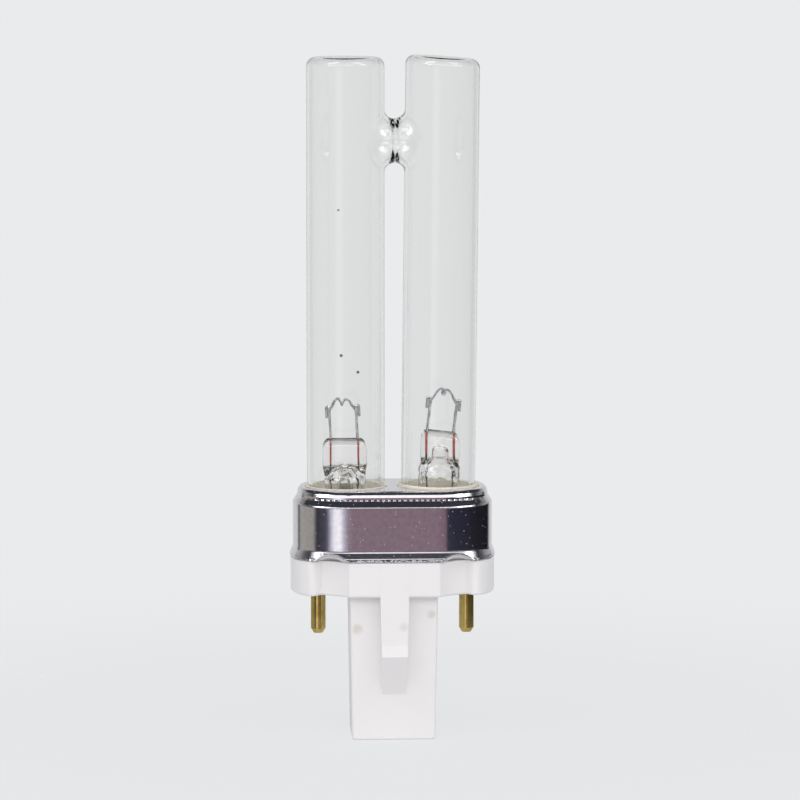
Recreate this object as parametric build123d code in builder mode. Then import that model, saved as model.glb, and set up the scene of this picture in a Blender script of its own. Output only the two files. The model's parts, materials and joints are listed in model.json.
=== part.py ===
"""Twin-tube germicidal lamp with a two-pin push-in base.

Millimetres, +Z up, +X to the right, front towards -Y, origin under the middle of the post.
"""

import os
from math import cos, radians, sin, sqrt, tan

from build123d import *

os.makedirs("parts", exist_ok=True)

# Heights of the base, from the foot of the post upwards
post_height = 22.65
flange_height = 5.35
lip_height = 0.6
flare_height = 1.1
wall_height = 6.85
shoulder_height = 0.9
land_height = 1.45

# Plan of the drawn shell round the tubes: flat front, softly turned sides, rounded ends
cap_side_margin = 2.2
cap_front_margin = 3.0
front_turn_width = 8.9
corner_radius = 6.5
side_turn = 25.0
corner_turn = 78.0
shell_thickness = 0.4
flare_out = 0.45
land_inset = 0.6
land_draft = 0.3

# Roundings of the shell's bends, from its lip to the land
lip_round = 0.25
flare_round = 0.6
waist_round = 1.0
shoulder_round = 0.7
step_round = 0.3
land_round = 0.75

# Crimps that press the skirt into the flutes of the moulding
crimp_inset = 1.4
crimp_radius = 3.5
crimp_tilt = 60.0
crimp_rise = 0.7
crimp_round = 0.3
arch_radius = 4.0
crimp_clearance = 0.1
spigot_clearance = 0.1
spigot_height = 4.1

# White moulding: flange, flutes beside the pins, hollow post, catch ribs
flange_out = 0.35
panel_extra = 0.45
flute_inset = 0.4
flute_depth = 2.8
lobe_outset = 1.1
lobe_depth = 1.0
flange_floor = 2.0
flange_edge_round = 0.45
lobe_round = 1.0
panel_round = 0.35
spigot_wall = 1.2
post_top_width = 13.6
post_foot_width = 12.85
post_top_depth = 12.4
post_foot_depth = 11.9
post_wall = 1.3
post_floor = 1.4
post_round = 0.5
rib_top_width = 4.44
rib_foot_width = 3.6
rib_proud = 0.1
catch_out = 1.2
catch_top = 15.25
catch_peak = 13.65
catch_foot = 7.0

# Contact pins
pin_inset = 3.9
pin_diameter = 2.3
pin_length = 6.75
pin_bore = 1.2
pin_tip_chamfer = 0.45
pin_shank_step = 0.3
pin_collar_diameter = 3.4
pin_collar_height = 0.7

# Glass tubes and the bridge blown between them
left_tube_diameter = 12.0
right_tube_diameter = 11.45
tube_gap = 2.535
tube_offset = 0.0675
tube_wall = 0.85
tube_rise = 66.1
left_lean = 0.0
right_lean = 0.6
left_end_tilt = 0.0
right_end_tilt = 3.3
end_round = 1.4
bridge_drop = 12.85
neck_radius = 3.5
neck_bore_radius = 2.75
seam_bore_radius = 2.3
neck_blend = 1.3
tube_hole_clearance = 0.35
collar_rise = 0.15
cement_lip_height = 0.6
cement_lip_width = 0.6

# Pressed glass stems
stem_radius = 3.2
stem_wall = 0.75
stem_thickness = 2.7
left_press_width = 6.9
right_press_width = 6.2
left_press_rise = 7.45
right_press_rise = 8.55
left_stem_lean = -1.0
right_stem_lean = 1.8
flare_rim_height = 0.9
flare_curve = 3.4
press_blend = 2.4
press_height = 4.3
hollow_rise = 0.6
recess_solid = 2.2
recess_half_width = 1.3
recess_half_depth = 0.75
recess_round = 0.6
exhaust_radius = 1.2
exhaust_wall = 0.5
rim_overlap = 0.15
stem_lift = 0.4

# Wires and filaments
lead_radius = 0.22
lead_inset = 0.4
lead_height = 5.1
left_mount_lean = -3.0
right_mount_lean = 6.5
fold_radius = 0.24
fold_drop = 1.7
weld_depth = 0.8
seal_wire_radius = 0.16
seal_wire_margin = 0.5
tail_radius = 0.14
filament_radius = 0.2
filament_bend = 0.22

# Glow starter and its capacitor inside the post
bulb_radius = 3.1
bulb_height = 13.0
starter_gap = 0.3
capacitor_width = 3.0
capacitor_depth = 7.4
capacitor_height = 9.0
starter_wire_radius = 0.2
splice_radius = 0.95
splice_length = 2.6
splice_gap = 0.7

# Plan places that follow from the tubes
left_tube_x = tube_offset - tube_gap / 2 - left_tube_diameter / 2
right_tube_x = tube_offset + tube_gap / 2 + right_tube_diameter / 2
tube_reach = max(left_tube_diameter / 2 - left_tube_x, right_tube_diameter / 2 + right_tube_x)
shell_half_width = tube_reach + cap_side_margin
shell_half_depth = max(left_tube_diameter, right_tube_diameter) / 2 + cap_front_margin
front_flat_half = shell_half_width - front_turn_width
panel_half = front_flat_half + panel_extra
pin_x = shell_half_width - pin_inset
crimp_x = pin_x - crimp_inset
flute_x = pin_x - flute_inset
flute_floor = shell_half_depth - flute_depth
lobe_x = pin_x + lobe_outset
lobe_y = shell_half_depth - lobe_depth

# Levels that follow from the heights
edge_z = post_height + flange_height
flare_z = edge_z + lip_height
wall_z = flare_z + flare_height
shoulder_z = wall_z + wall_height
step_z = shoulder_z + shoulder_height
land_z = step_z + land_height
spigot_z = edge_z + spigot_height
cavity_z = post_height + flange_floor
tube_foot_z = spigot_z + cement_lip_height
tube_insert = land_z - tube_foot_z
tube_hole_radius = max(left_tube_diameter, right_tube_diameter) / 2 + tube_hole_clearance
cavity_half_width = shell_half_width - shell_thickness - spigot_clearance - spigot_wall
post_inner_half = post_foot_width / 2 - post_wall
bulb_x = bulb_radius + starter_gap - post_inner_half
capacitor_x = post_inner_half - starter_gap - capacitor_width / 2
splice_x = post_inner_half - splice_radius - starter_gap / 2
lead_half_spacing = stem_radius - stem_wall - lead_inset
seal_wire_length = press_height - weld_depth - seal_wire_margin
bridge_z = land_z + tube_rise - bridge_drop
splice_z = cavity_z + splice_length / 2 + splice_gap
flange_half_depth = shell_half_depth + flange_out
rib_face = flange_half_depth + rib_proud
crimp_floor = flute_floor + shell_thickness + crimp_clearance

# Radii of the long side arcs and the end arcs that close the outline between the turns
turn_a = radians(side_turn)
turn_b = radians(corner_turn)
run_x = shell_half_width - front_flat_half - corner_radius * (sin(turn_b) - sin(turn_a))
run_y = shell_half_depth - corner_radius * (cos(turn_a) - cos(turn_b))
mix = sin(turn_a) * cos(turn_b) - (1 - sin(turn_b)) * (1 - cos(turn_a))
side_radius = (run_x * cos(turn_b) - (1 - sin(turn_b)) * run_y) / mix
end_radius = (sin(turn_a) * run_y - run_x * (1 - cos(turn_a))) / mix


def plan_face(z, grow):
    """Horizontal face at height z inside the shell's outline moved outwards by grow."""
    with BuildSketch(Plane.XY.offset(z)) as plan:
        with BuildLine():
            front = Line((0, -shell_half_depth), (front_flat_half, -shell_half_depth))
            side = JernArc(front @ 1, (1, 0), side_radius, side_turn)
            corner = JernArc(side @ 1, side % 1, corner_radius, corner_turn - side_turn)
            end = JernArc(corner @ 1, corner % 1, end_radius, 90 - corner_turn)
            Line(end @ 1, (0, 0))
            Line((0, 0), (0, -shell_half_depth))
        make_face()
        mirror(about=Plane.XZ)
        mirror(about=Plane.YZ)
        if grow != 0:
            offset(amount=grow)
    return plan.sketch


def crimp_tool(side_x, side_y, grow):
    """Leaning round bar that dents one place of the skirt; grow makes it thicker."""
    bar_y = side_y * (crimp_floor + crimp_radius / cos(radians(crimp_tilt)))
    with BuildPart() as bar:
        with Locations(Location((side_x * crimp_x, bar_y, edge_z), (-side_y * crimp_tilt, 0, 0))):
            Cylinder(crimp_radius + grow, 40)
    return bar.part


crimp_sides = [(-1, -1), (1, -1), (-1, 1), (1, 1)]


def shell_form(inset):
    """Filled shape inside the shell's outer skin, every face moved inwards by inset."""
    sink = 2.0 if inset > 0 else 0.0
    with BuildPart() as form:
        add(plan_face(edge_z - sink, flare_out - inset))
        extrude(amount=lip_height + sink)
        add(plan_face(flare_z, flare_out - inset))
        add(plan_face(wall_z, -inset))
        loft(ruled=True)
        add(plan_face(wall_z, -inset))
        extrude(amount=wall_height)
        add(plan_face(shoulder_z, -inset))
        add(plan_face(step_z, -land_inset - inset))
        loft(ruled=True)
        add(plan_face(step_z, -land_inset - inset))
        add(plan_face(land_z - inset, -land_inset - land_draft - inset))
        loft(ruled=True)
        rings = form.edges().filter_by(lambda e: e.bounding_box().size.Z < 0.001)
        flare_ring = rings.filter_by_position(Axis.Z, flare_z - 0.01, flare_z + 0.01)
        fillet(flare_ring, flare_round - inset / 2)
        rings = form.edges().filter_by(lambda e: e.bounding_box().size.Z < 0.001)
        wall_ring = rings.filter_by_position(Axis.Z, wall_z - 0.01, wall_z + 0.01)
        fillet(wall_ring, waist_round + inset)
        rings = form.edges().filter_by(lambda e: e.bounding_box().size.Z < 0.001)
        fillet(rings.filter_by_position(Axis.Z, shoulder_z - 0.01, shoulder_z + 0.01), shoulder_round - inset)
        rings = form.edges().filter_by(lambda e: e.bounding_box().size.Z < 0.001)
        fillet(rings.filter_by_position(Axis.Z, step_z - 0.01, step_z + 0.01), step_round + inset)
        rings = form.edges().filter_by(lambda e: e.bounding_box().size.Z < 0.001)
        top_z = land_z - inset
        fillet(rings.filter_by_position(Axis.Z, top_z - 0.01, top_z + 0.01), land_round - inset)
        if inset == 0:
            rings = form.edges().filter_by(lambda e: e.bounding_box().size.Z < 0.001)
            fillet(rings.filter_by_position(Axis.Z, edge_z - 0.01, edge_z + 0.01), lip_round)
    return form.part


def tube_blank(tube_x, diameter, lean, end_tilt, shrink, drop):
    """Rod with a rounded closed end, set on the tube's own axis."""
    lean_a = radians(lean)
    end_a = radians(lean + end_tilt)
    axis_dir = Vector(sin(lean_a), 0, cos(lean_a))
    foot = Vector(tube_x, 0, land_z)
    across = (cos(lean_a), 0, -sin(lean_a))
    end_dir = (sin(end_a), 0, cos(end_a))
    end_point = foot + axis_dir * (tube_rise - shrink)
    with BuildPart() as blank:
        with BuildSketch(Plane(origin=foot - axis_dir * drop, x_dir=across, z_dir=axis_dir)):
            Circle(diameter / 2 - shrink)
        extrude(amount=drop + tube_rise + 3)
        split(bisect_by=Plane(origin=end_point, z_dir=end_dir), keep=Keep.BOTTOM)
        fillet(blank.faces().sort_by(Axis.Z)[-1].edges(), end_round - shrink * 0.7)
    return blank.part


def stem_form(press_width, press_rise, rim_radius):
    """Pressed stem on its own axis: flared rim at height 0, press at the top, hollow below."""
    height = tube_insert + press_rise - stem_lift
    blend_z = height - press_height
    neck_z = blend_z - press_blend
    curve_z = flare_rim_height + flare_curve
    hollow_radius = stem_radius - stem_wall
    dome_z = blend_z + hollow_rise
    with BuildPart() as stem:
        with BuildSketch(Plane.XZ):
            with BuildLine():
                base = Line((0, 0), (rim_radius, 0))
                rim = Line(base @ 1, (rim_radius, flare_rim_height))
                sweep_in = (
                    stem_radius + (rim_radius - stem_radius) * 0.22,
                    flare_rim_height + flare_curve * 0.42,
                )
                curve = ThreePointArc(rim @ 1, sweep_in, (stem_radius, curve_z))
                wall = Line(curve @ 1, (stem_radius, neck_z))
                Line(wall @ 1, (0, neck_z))
                Line((0, neck_z), (0, 0))
            make_face()
        revolve(axis=Axis.Z)
        with BuildSketch(Plane.XY.offset(neck_z)):
            Circle(stem_radius)
        with BuildSketch(Plane.XY.offset(blend_z)):
            RectangleRounded(press_width, stem_thickness, stem_thickness * 0.45)
        loft()
        with BuildSketch(Plane.XY.offset(blend_z)):
            RectangleRounded(press_width, stem_thickness, stem_thickness * 0.45)
        extrude(amount=press_height)
        fillet(stem.faces().sort_by(Axis.Z)[-1].edges(), stem_thickness * 0.35)
        with BuildSketch(Plane.XZ):
            with BuildLine():
                inner_rim = rim_radius - stem_wall
                mouth = Line((0, -1), (inner_rim, -1))
                skirt = Line(mouth @ 1, (inner_rim, flare_rim_height * 0.4))
                inner_mid = (
                    hollow_radius + (inner_rim - hollow_radius) * 0.24,
                    flare_rim_height * 0.4 + flare_curve * 0.42,
                )
                bend = ThreePointArc(skirt @ 1, inner_mid, (hollow_radius, curve_z - 0.3))
                bore = Line(bend @ 1, (hollow_radius, neck_z))
                shoulder = (hollow_radius * 0.55, neck_z + (dome_z - neck_z) * 0.58)
                Spline(bore @ 1, shoulder, (0, dome_z), tangents=[(0, 1), (-1, 0)])
                Line((0, dome_z), (0, -1))
            make_face()
        revolve(axis=Axis.Z, mode=Mode.SUBTRACT)
    return stem.part


def round_wire(points, radius, bend):
    """Round wire along straight runs joined by bends of one radius."""
    with BuildPart() as run:
        with BuildLine() as path:
            FilletPolyline(*points, radius=bend)
        with BuildSketch(Plane(origin=path.line @ 0, z_dir=path.line % 0)):
            Circle(radius)
        sweep()
    return run


def straight_wire(start, finish, radius):
    """Straight round wire between two points."""
    run = Vector(finish) - Vector(start)
    with BuildPart() as rod:
        with BuildSketch(Plane(origin=start, z_dir=run)):
            Circle(radius)
        extrude(amount=run.length)
    return rod


def mount_point(mount, across, depth, up):
    """Point of a filament mount: across and up are measured in the leaning mount."""
    lean_a = radians(mount[2])
    x = mount[0] + across * cos(lean_a) + up * sin(lean_a)
    z = mount[1] - across * sin(lean_a) + up * cos(lean_a)
    return (x, depth, z)


left_stem_foot_x = left_tube_x
right_stem_foot_x = right_tube_x - tube_insert * tan(radians(right_lean))
left_press_x = left_stem_foot_x + (tube_insert + left_press_rise) * tan(radians(left_stem_lean))
right_press_x = right_stem_foot_x + (tube_insert + right_press_rise) * tan(radians(right_stem_lean))
left_mount = (left_press_x, land_z + left_press_rise, left_mount_lean)
right_mount = (right_press_x, land_z + right_press_rise, right_mount_lean)


def inner_lead(mount, side):
    """Support lead: straight out of the press, folded over outwards at the top to clamp the coil."""
    across = side * lead_half_spacing
    outer = across + side * 2 * fold_radius
    points = [
        mount_point(mount, across, 0, -weld_depth),
        mount_point(mount, across, 0, lead_height - lead_radius),
        mount_point(mount, outer, 0, lead_height - lead_radius),
        mount_point(mount, outer, 0, lead_height - lead_radius - fold_drop),
    ]
    return round_wire(points, lead_radius, fold_radius * 0.96)


def seal_top(mount, side):
    """Point where a seal wire is welded to the lead above it."""
    return mount_point(mount, side * lead_half_spacing, 0, -weld_depth)


def seal_foot(mount, side):
    """Point where a seal wire leaves the glass of the press."""
    top = seal_top(mount, side)
    return (top[0] + side * 0.02, 0, top[2] - seal_wire_length)


def seal_wire(mount, side, lead):
    """Straight length of copper-clad wire through the glass of a press, butted to its lead."""
    rod = straight_wire(seal_top(mount, side), seal_foot(mount, side), seal_wire_radius)
    with BuildPart() as butted:
        add(rod.part)
        add(lead.part, mode=Mode.SUBTRACT)
    return butted


# Glass blanks shared by the envelope, the stems and the cement
left_tube = (left_tube_x, left_tube_diameter, left_lean, left_end_tilt)
right_tube = (right_tube_x, right_tube_diameter, right_lean, right_end_tilt)
left_outer = tube_blank(*left_tube, 0, tube_insert)
right_outer = tube_blank(*right_tube, 0, tube_insert)
left_inner = tube_blank(*left_tube, tube_wall, tube_insert + 1)
right_inner = tube_blank(*right_tube, tube_wall, tube_insert + 1)
right_bridge_x = right_tube_x + (bridge_z - land_z) * tan(radians(right_lean))
left_wall_x = left_tube_x + left_tube_diameter / 2
right_wall_x = right_bridge_x - right_tube_diameter / 2
seam_x = (left_wall_x + right_wall_x) / 2

# Space inside the two tubes, joined through the neck with its fused seam
with BuildPart() as glass_bore:
    add(left_inner)
    add(right_inner)
    with BuildSketch(Plane.XZ):
        with BuildLine():
            Polyline(
                (left_tube_x + 3, bridge_z),
                (left_tube_x + 3, bridge_z + neck_bore_radius),
                (left_wall_x - 0.2, bridge_z + neck_bore_radius),
                (seam_x, bridge_z + seam_bore_radius),
                (right_wall_x + 0.2, bridge_z + neck_bore_radius),
                (right_bridge_x - 3, bridge_z + neck_bore_radius),
                (right_bridge_x - 3, bridge_z),
                close=True,
            )
        make_face()
    revolve(axis=Axis((0, 0, bridge_z), (1, 0, 0)))

# Clear quartz envelope: two closed tubes fused through a short blown neck
with BuildPart() as glass_envelope:
    add(left_outer)
    add(right_outer)
    with BuildSketch(Plane.YZ.offset(left_tube_x)):
        with Locations((0, bridge_z)):
            Circle(neck_radius)
    extrude(amount=right_bridge_x - left_tube_x)
    neck_edges = glass_envelope.edges().filter_by(
        lambda e: e.bounding_box().size.Y > neck_radius
        and abs(e.center(CenterOf.BOUNDING_BOX).Z - bridge_z) < 1
        and e.bounding_box().size.Z < 3 * neck_radius
    )
    fillet(neck_edges, neck_blend)
    add(glass_bore.part, mode=Mode.SUBTRACT)
glass_envelope.part.label = "glass_envelope"
export_step(glass_envelope.part, "parts/glass_envelope.step")

# Nickel support leads
left_outboard_lead = inner_lead(left_mount, -1)
left_outboard_lead.part.label = "left_outboard_lead"
export_step(left_outboard_lead.part, "parts/left_outboard_lead.step")

left_inboard_lead = inner_lead(left_mount, 1)
left_inboard_lead.part.label = "left_inboard_lead"
export_step(left_inboard_lead.part, "parts/left_inboard_lead.step")

right_inboard_lead = inner_lead(right_mount, -1)
right_inboard_lead.part.label = "right_inboard_lead"
export_step(right_inboard_lead.part, "parts/right_inboard_lead.step")

right_outboard_lead = inner_lead(right_mount, 1)
right_outboard_lead.part.label = "right_outboard_lead"
export_step(right_outboard_lead.part, "parts/right_outboard_lead.step")

# Copper-clad seal wires in the glass of the presses
left_outboard_seal_wire = seal_wire(left_mount, -1, left_outboard_lead)
left_outboard_seal_wire.part.label = "left_outboard_seal_wire"
export_step(left_outboard_seal_wire.part, "parts/left_outboard_seal_wire.step")

left_inboard_seal_wire = seal_wire(left_mount, 1, left_inboard_lead)
left_inboard_seal_wire.part.label = "left_inboard_seal_wire"
export_step(left_inboard_seal_wire.part, "parts/left_inboard_seal_wire.step")

right_inboard_seal_wire = seal_wire(right_mount, -1, right_inboard_lead)
right_inboard_seal_wire.part.label = "right_inboard_seal_wire"
export_step(right_inboard_seal_wire.part, "parts/right_inboard_seal_wire.step")

right_outboard_seal_wire = seal_wire(right_mount, 1, right_outboard_lead)
right_outboard_seal_wire.part.label = "right_outboard_seal_wire"
export_step(right_outboard_seal_wire.part, "parts/right_outboard_seal_wire.step")

# Tail wires: the outer ones run into the pins, the inner ones to the starter
left_outer_tail_top = Vector(seal_foot(left_mount, -1))
left_inner_tail_top = Vector(seal_foot(left_mount, 1))
right_inner_tail_top = Vector(seal_foot(right_mount, -1))
right_outer_tail_top = Vector(seal_foot(right_mount, 1))
pin_wire_foot = post_height - pin_length + 1.5
turn_z = tube_foot_z - 1.6

left_outboard_tail = round_wire([
    left_outer_tail_top,
    (left_outer_tail_top.X, 0, turn_z),
    (-pin_x, 0, cavity_z + 2.2),
    (-pin_x, 0, pin_wire_foot),
], tail_radius, 1.0)
left_outboard_tail.part.label = "left_outboard_tail"
export_step(left_outboard_tail.part, "parts/left_outboard_tail.step")

right_outboard_tail = round_wire([
    right_outer_tail_top,
    (right_outer_tail_top.X, 0, turn_z),
    (pin_x, 0, cavity_z + 2.2),
    (pin_x, 0, pin_wire_foot),
], tail_radius, 1.0)
right_outboard_tail.part.label = "right_outboard_tail"
export_step(right_outboard_tail.part, "parts/right_outboard_tail.step")

left_inboard_tail = round_wire([
    left_inner_tail_top,
    (left_inner_tail_top.X, 0, turn_z),
    (-splice_x, 0, splice_z + 2.4),
    (-splice_x, 0, splice_z + 0.1),
], tail_radius, 0.7)
left_inboard_tail.part.label = "left_inboard_tail"
export_step(left_inboard_tail.part, "parts/left_inboard_tail.step")

right_inboard_tail = round_wire([
    right_inner_tail_top,
    (right_inner_tail_top.X, 0, turn_z),
    (splice_x, 0, splice_z + 2.4),
    (splice_x, 0, splice_z + 0.1),
], tail_radius, 0.7)
right_inboard_tail.part.label = "right_inboard_tail"
export_step(right_inboard_tail.part, "parts/right_inboard_tail.step")

# Glass stems, cut by the tube bores they are sealed into and by the wires they carry
left_rim = left_tube_diameter / 2 - tube_wall + rim_overlap
left_stem_place = Location((left_stem_foot_x, 0, tube_foot_z + stem_lift), (0, left_stem_lean, 0))
left_stem_blank = stem_form(left_press_width, left_press_rise, left_rim).locate(left_stem_place)
left_stem_plane = Plane(left_stem_place)
exhaust_height = tube_insert + left_press_rise - stem_lift - press_height + hollow_rise

with BuildPart() as left_stem:
    add(left_stem_blank)
    with BuildSketch(left_stem_plane):
        Circle(exhaust_radius)
    extrude(amount=exhaust_height + exhaust_wall / 2)
    with BuildSketch(left_stem_plane.offset(exhaust_wall * 2)):
        Circle(exhaust_radius - exhaust_wall)
    extrude(amount=exhaust_height - exhaust_wall * 3, mode=Mode.SUBTRACT)
    add(left_inner, mode=Mode.INTERSECT)
    add(left_outboard_lead.part, mode=Mode.SUBTRACT)
    add(left_inboard_lead.part, mode=Mode.SUBTRACT)
    add(left_outboard_seal_wire.part, mode=Mode.SUBTRACT)
    add(left_inboard_seal_wire.part, mode=Mode.SUBTRACT)
    add(left_outboard_tail.part, mode=Mode.SUBTRACT)
    add(left_inboard_tail.part, mode=Mode.SUBTRACT)
left_stem.part.label = "left_stem"
export_step(left_stem.part, "parts/left_stem.step")

right_rim = right_tube_diameter / 2 - tube_wall + rim_overlap
right_stem_place = Location((right_stem_foot_x, 0, tube_foot_z + stem_lift), (0, right_stem_lean, 0))
right_stem_blank = stem_form(right_press_width, right_press_rise, right_rim).locate(right_stem_place)
right_stem_plane = Plane(right_stem_place)
right_stem_height = tube_insert + right_press_rise - stem_lift
recess_foot = right_stem_height - press_height - press_blend / 2
recess_height = right_stem_height - recess_solid - recess_foot

# Domed hollow that the sealed-off exhaust hole left in the right press
with BuildPart() as right_recess:
    with BuildSketch(right_stem_plane.offset(recess_foot)):
        SlotOverall(2 * recess_half_width, 2 * recess_half_depth)
    extrude(amount=recess_height)
    fillet(right_recess.faces().sort_by(Axis.Z)[-1].edges(), recess_round)

with BuildPart() as right_stem:
    add(right_stem_blank)
    add(right_recess.part, mode=Mode.SUBTRACT)
    add(right_inner, mode=Mode.INTERSECT)
    add(right_outboard_lead.part, mode=Mode.SUBTRACT)
    add(right_inboard_lead.part, mode=Mode.SUBTRACT)
    add(right_outboard_seal_wire.part, mode=Mode.SUBTRACT)
    add(right_inboard_seal_wire.part, mode=Mode.SUBTRACT)
    add(right_outboard_tail.part, mode=Mode.SUBTRACT)
    add(right_inboard_tail.part, mode=Mode.SUBTRACT)
right_stem.part.label = "right_stem"
export_step(right_stem.part, "parts/right_stem.step")

# Coiled filaments as plain rods, ends clamped on the leads
left_filament_shape = [
    (-lead_half_spacing, 0, lead_height - 1.1),
    (-0.72, 0, lead_height + 1.1),
    (-0.05, 0, lead_height - 0.35),
    (0.78, 0, lead_height + 0.75),
    (lead_half_spacing, 0, lead_height - 1.5),
]
right_filament_shape = [
    (-lead_half_spacing, 0, lead_height - 1.0),
    (-1.1, -0.05, lead_height + 1.3),
    (0.22, -0.3, lead_height + 1.15),
    (0.3, -0.3, lead_height + 0.05),
    (-0.4, 0.3, lead_height + 0.05),
    (-0.32, 0.3, lead_height + 1.2),
    (0.75, 0.05, lead_height + 1.2),
    (lead_half_spacing, 0, lead_height - 1.2),
]

left_filament_points = [mount_point(left_mount, *place) for place in left_filament_shape]
left_filament_rod = round_wire(left_filament_points, filament_radius, filament_bend)

with BuildPart() as left_filament:
    add(left_filament_rod.part)
    add(left_outboard_lead.part, mode=Mode.SUBTRACT)
    add(left_inboard_lead.part, mode=Mode.SUBTRACT)
left_filament.part.label = "left_filament"
export_step(left_filament.part, "parts/left_filament.step")

right_filament_points = [mount_point(right_mount, *place) for place in right_filament_shape]
right_filament_rod = round_wire(right_filament_points, filament_radius, filament_bend)

with BuildPart() as right_filament:
    add(right_filament_rod.part)
    add(right_outboard_lead.part, mode=Mode.SUBTRACT)
    add(right_inboard_lead.part, mode=Mode.SUBTRACT)
right_filament.part.label = "right_filament"
export_step(right_filament.part, "parts/right_filament.step")

# Drawn aluminium shell with its four crimps
outer_form = shell_form(0)
inner_form = shell_form(shell_thickness)

outer_bars = [crimp_tool(side_x, side_y, 0) for side_x, side_y in crimp_sides]
inner_bars = [crimp_tool(side_x, side_y, shell_thickness) for side_x, side_y in crimp_sides]

with BuildPart() as outer_dented:
    add(outer_form)
    add(outer_bars, mode=Mode.SUBTRACT)
    crimp_edges = outer_dented.edges().filter_by(
        lambda e: abs(abs(e.center().X) - crimp_x) < crimp_radius + 0.4
        and abs(e.center().Y) > flute_floor
        and e.bounding_box().size.Z > 0.1
        and edge_z < e.center().Z < wall_z + 2
    )
    fillet(crimp_edges, crimp_round)

with BuildPart() as inner_dented:
    add(inner_form)
    add(inner_bars, mode=Mode.SUBTRACT)

with BuildPart() as cap_shell:
    add(outer_dented.part)
    add(inner_dented.part, mode=Mode.SUBTRACT)
    with BuildSketch(Plane.XY.offset(step_z)):
        with Locations((left_tube_x, 0), (right_tube_x, 0)):
            Circle(tube_hole_radius)
    extrude(amount=land_height * 2, mode=Mode.SUBTRACT)
    with BuildSketch(Plane.XZ):
        arch_z = edge_z - arch_radius + crimp_rise
        with Locations((-crimp_x, arch_z), (crimp_x, arch_z)):
            Circle(arch_radius)
    extrude(amount=shell_half_depth * 2, both=True, mode=Mode.SUBTRACT)
cap_shell.part.label = "cap_shell"
export_step(cap_shell.part, "parts/cap_shell.step")

# Basing cement that holds the tubes under the land, with a thin collar round each tube
with BuildPart() as base_cement:
    add(inner_form)
    split(bisect_by=Plane.XY.offset(spigot_z), keep=Keep.TOP)
    with BuildSketch(Plane.XY.offset(land_z - shell_thickness)):
        with Locations((left_tube_x, 0), (right_tube_x, 0)):
            Circle(tube_hole_radius)
    extrude(amount=shell_thickness + collar_rise)
    with BuildSketch(Plane.XY.offset(spigot_z - 1)):
        with Locations((left_tube_x, 0)):
            Circle(left_tube_diameter / 2 - tube_wall - cement_lip_width)
        with Locations((right_tube_x, 0)):
            Circle(right_tube_diameter / 2 - tube_wall - cement_lip_width)
    extrude(amount=tube_insert, mode=Mode.SUBTRACT)
    add(left_outer, mode=Mode.SUBTRACT)
    add(right_outer, mode=Mode.SUBTRACT)
base_cement.part.label = "base_cement"
export_step(base_cement.part, "parts/base_cement.step")


def flute_face(side_x, side_y):
    """Plan of one flute: concave from the front panel in to the pin, then steeply out."""
    start = (side_x * panel_half, side_y * flange_half_depth)
    middle = (
        side_x * (panel_half + (flute_x - panel_half) * 0.46),
        side_y * (flute_floor + (flange_half_depth - flute_floor) * 0.40),
    )
    root = (side_x * flute_x, side_y * flute_floor)
    reach = 2.2
    far = (
        side_x * (flute_x + (lobe_x - flute_x) * reach),
        side_y * (flute_floor + (lobe_y - flute_floor) * reach),
    )
    with BuildSketch(Plane.XY.offset(post_height - 1)) as flute:
        with BuildLine():
            ThreePointArc(start, middle, root)
            Line(root, far)
            Line(far, (side_x * panel_half, far[1]))
            Line((side_x * panel_half, far[1]), start)
        make_face()
    return flute.sketch


# White moulding: fluted flange, spigot inside the shell, hollow post, catch ribs
with BuildPart() as catch_rib:
    with BuildSketch(Plane.YZ):
        with BuildLine():
            Polyline(
                (-flute_floor, edge_z),
                (-rib_face, edge_z),
                (-rib_face, catch_top),
                (-rib_face - catch_out, catch_peak),
                (-post_foot_depth / 2, catch_foot),
                (-post_foot_depth / 2 + post_wall / 2, catch_foot),
                (-post_foot_depth / 2 + post_wall / 2, post_height),
                (-flute_floor, post_height),
                close=True,
            )
        make_face()
    extrude(amount=rib_top_width, both=True)
    with BuildSketch(Plane.XZ):
        with BuildLine():
            Polyline(
                (-rib_foot_width / 2, catch_foot),
                (rib_foot_width / 2, catch_foot),
                (rib_top_width / 2, post_height),
                (rib_top_width / 2, edge_z),
                (-rib_top_width / 2, edge_z),
                (-rib_top_width / 2, post_height),
                close=True,
            )
        make_face()
    extrude(amount=rib_face * 2, both=True, mode=Mode.INTERSECT)

pocket_grow = shell_thickness + spigot_clearance
pocket_bars = [
    split(crimp_tool(side_x, side_y, pocket_grow), bisect_by=Plane.XY.offset(edge_z), keep=Keep.TOP)
    for side_x, side_y in crimp_sides
]
flute_plans = [flute_face(side_x, side_y) for side_x, side_y in crimp_sides]

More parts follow.
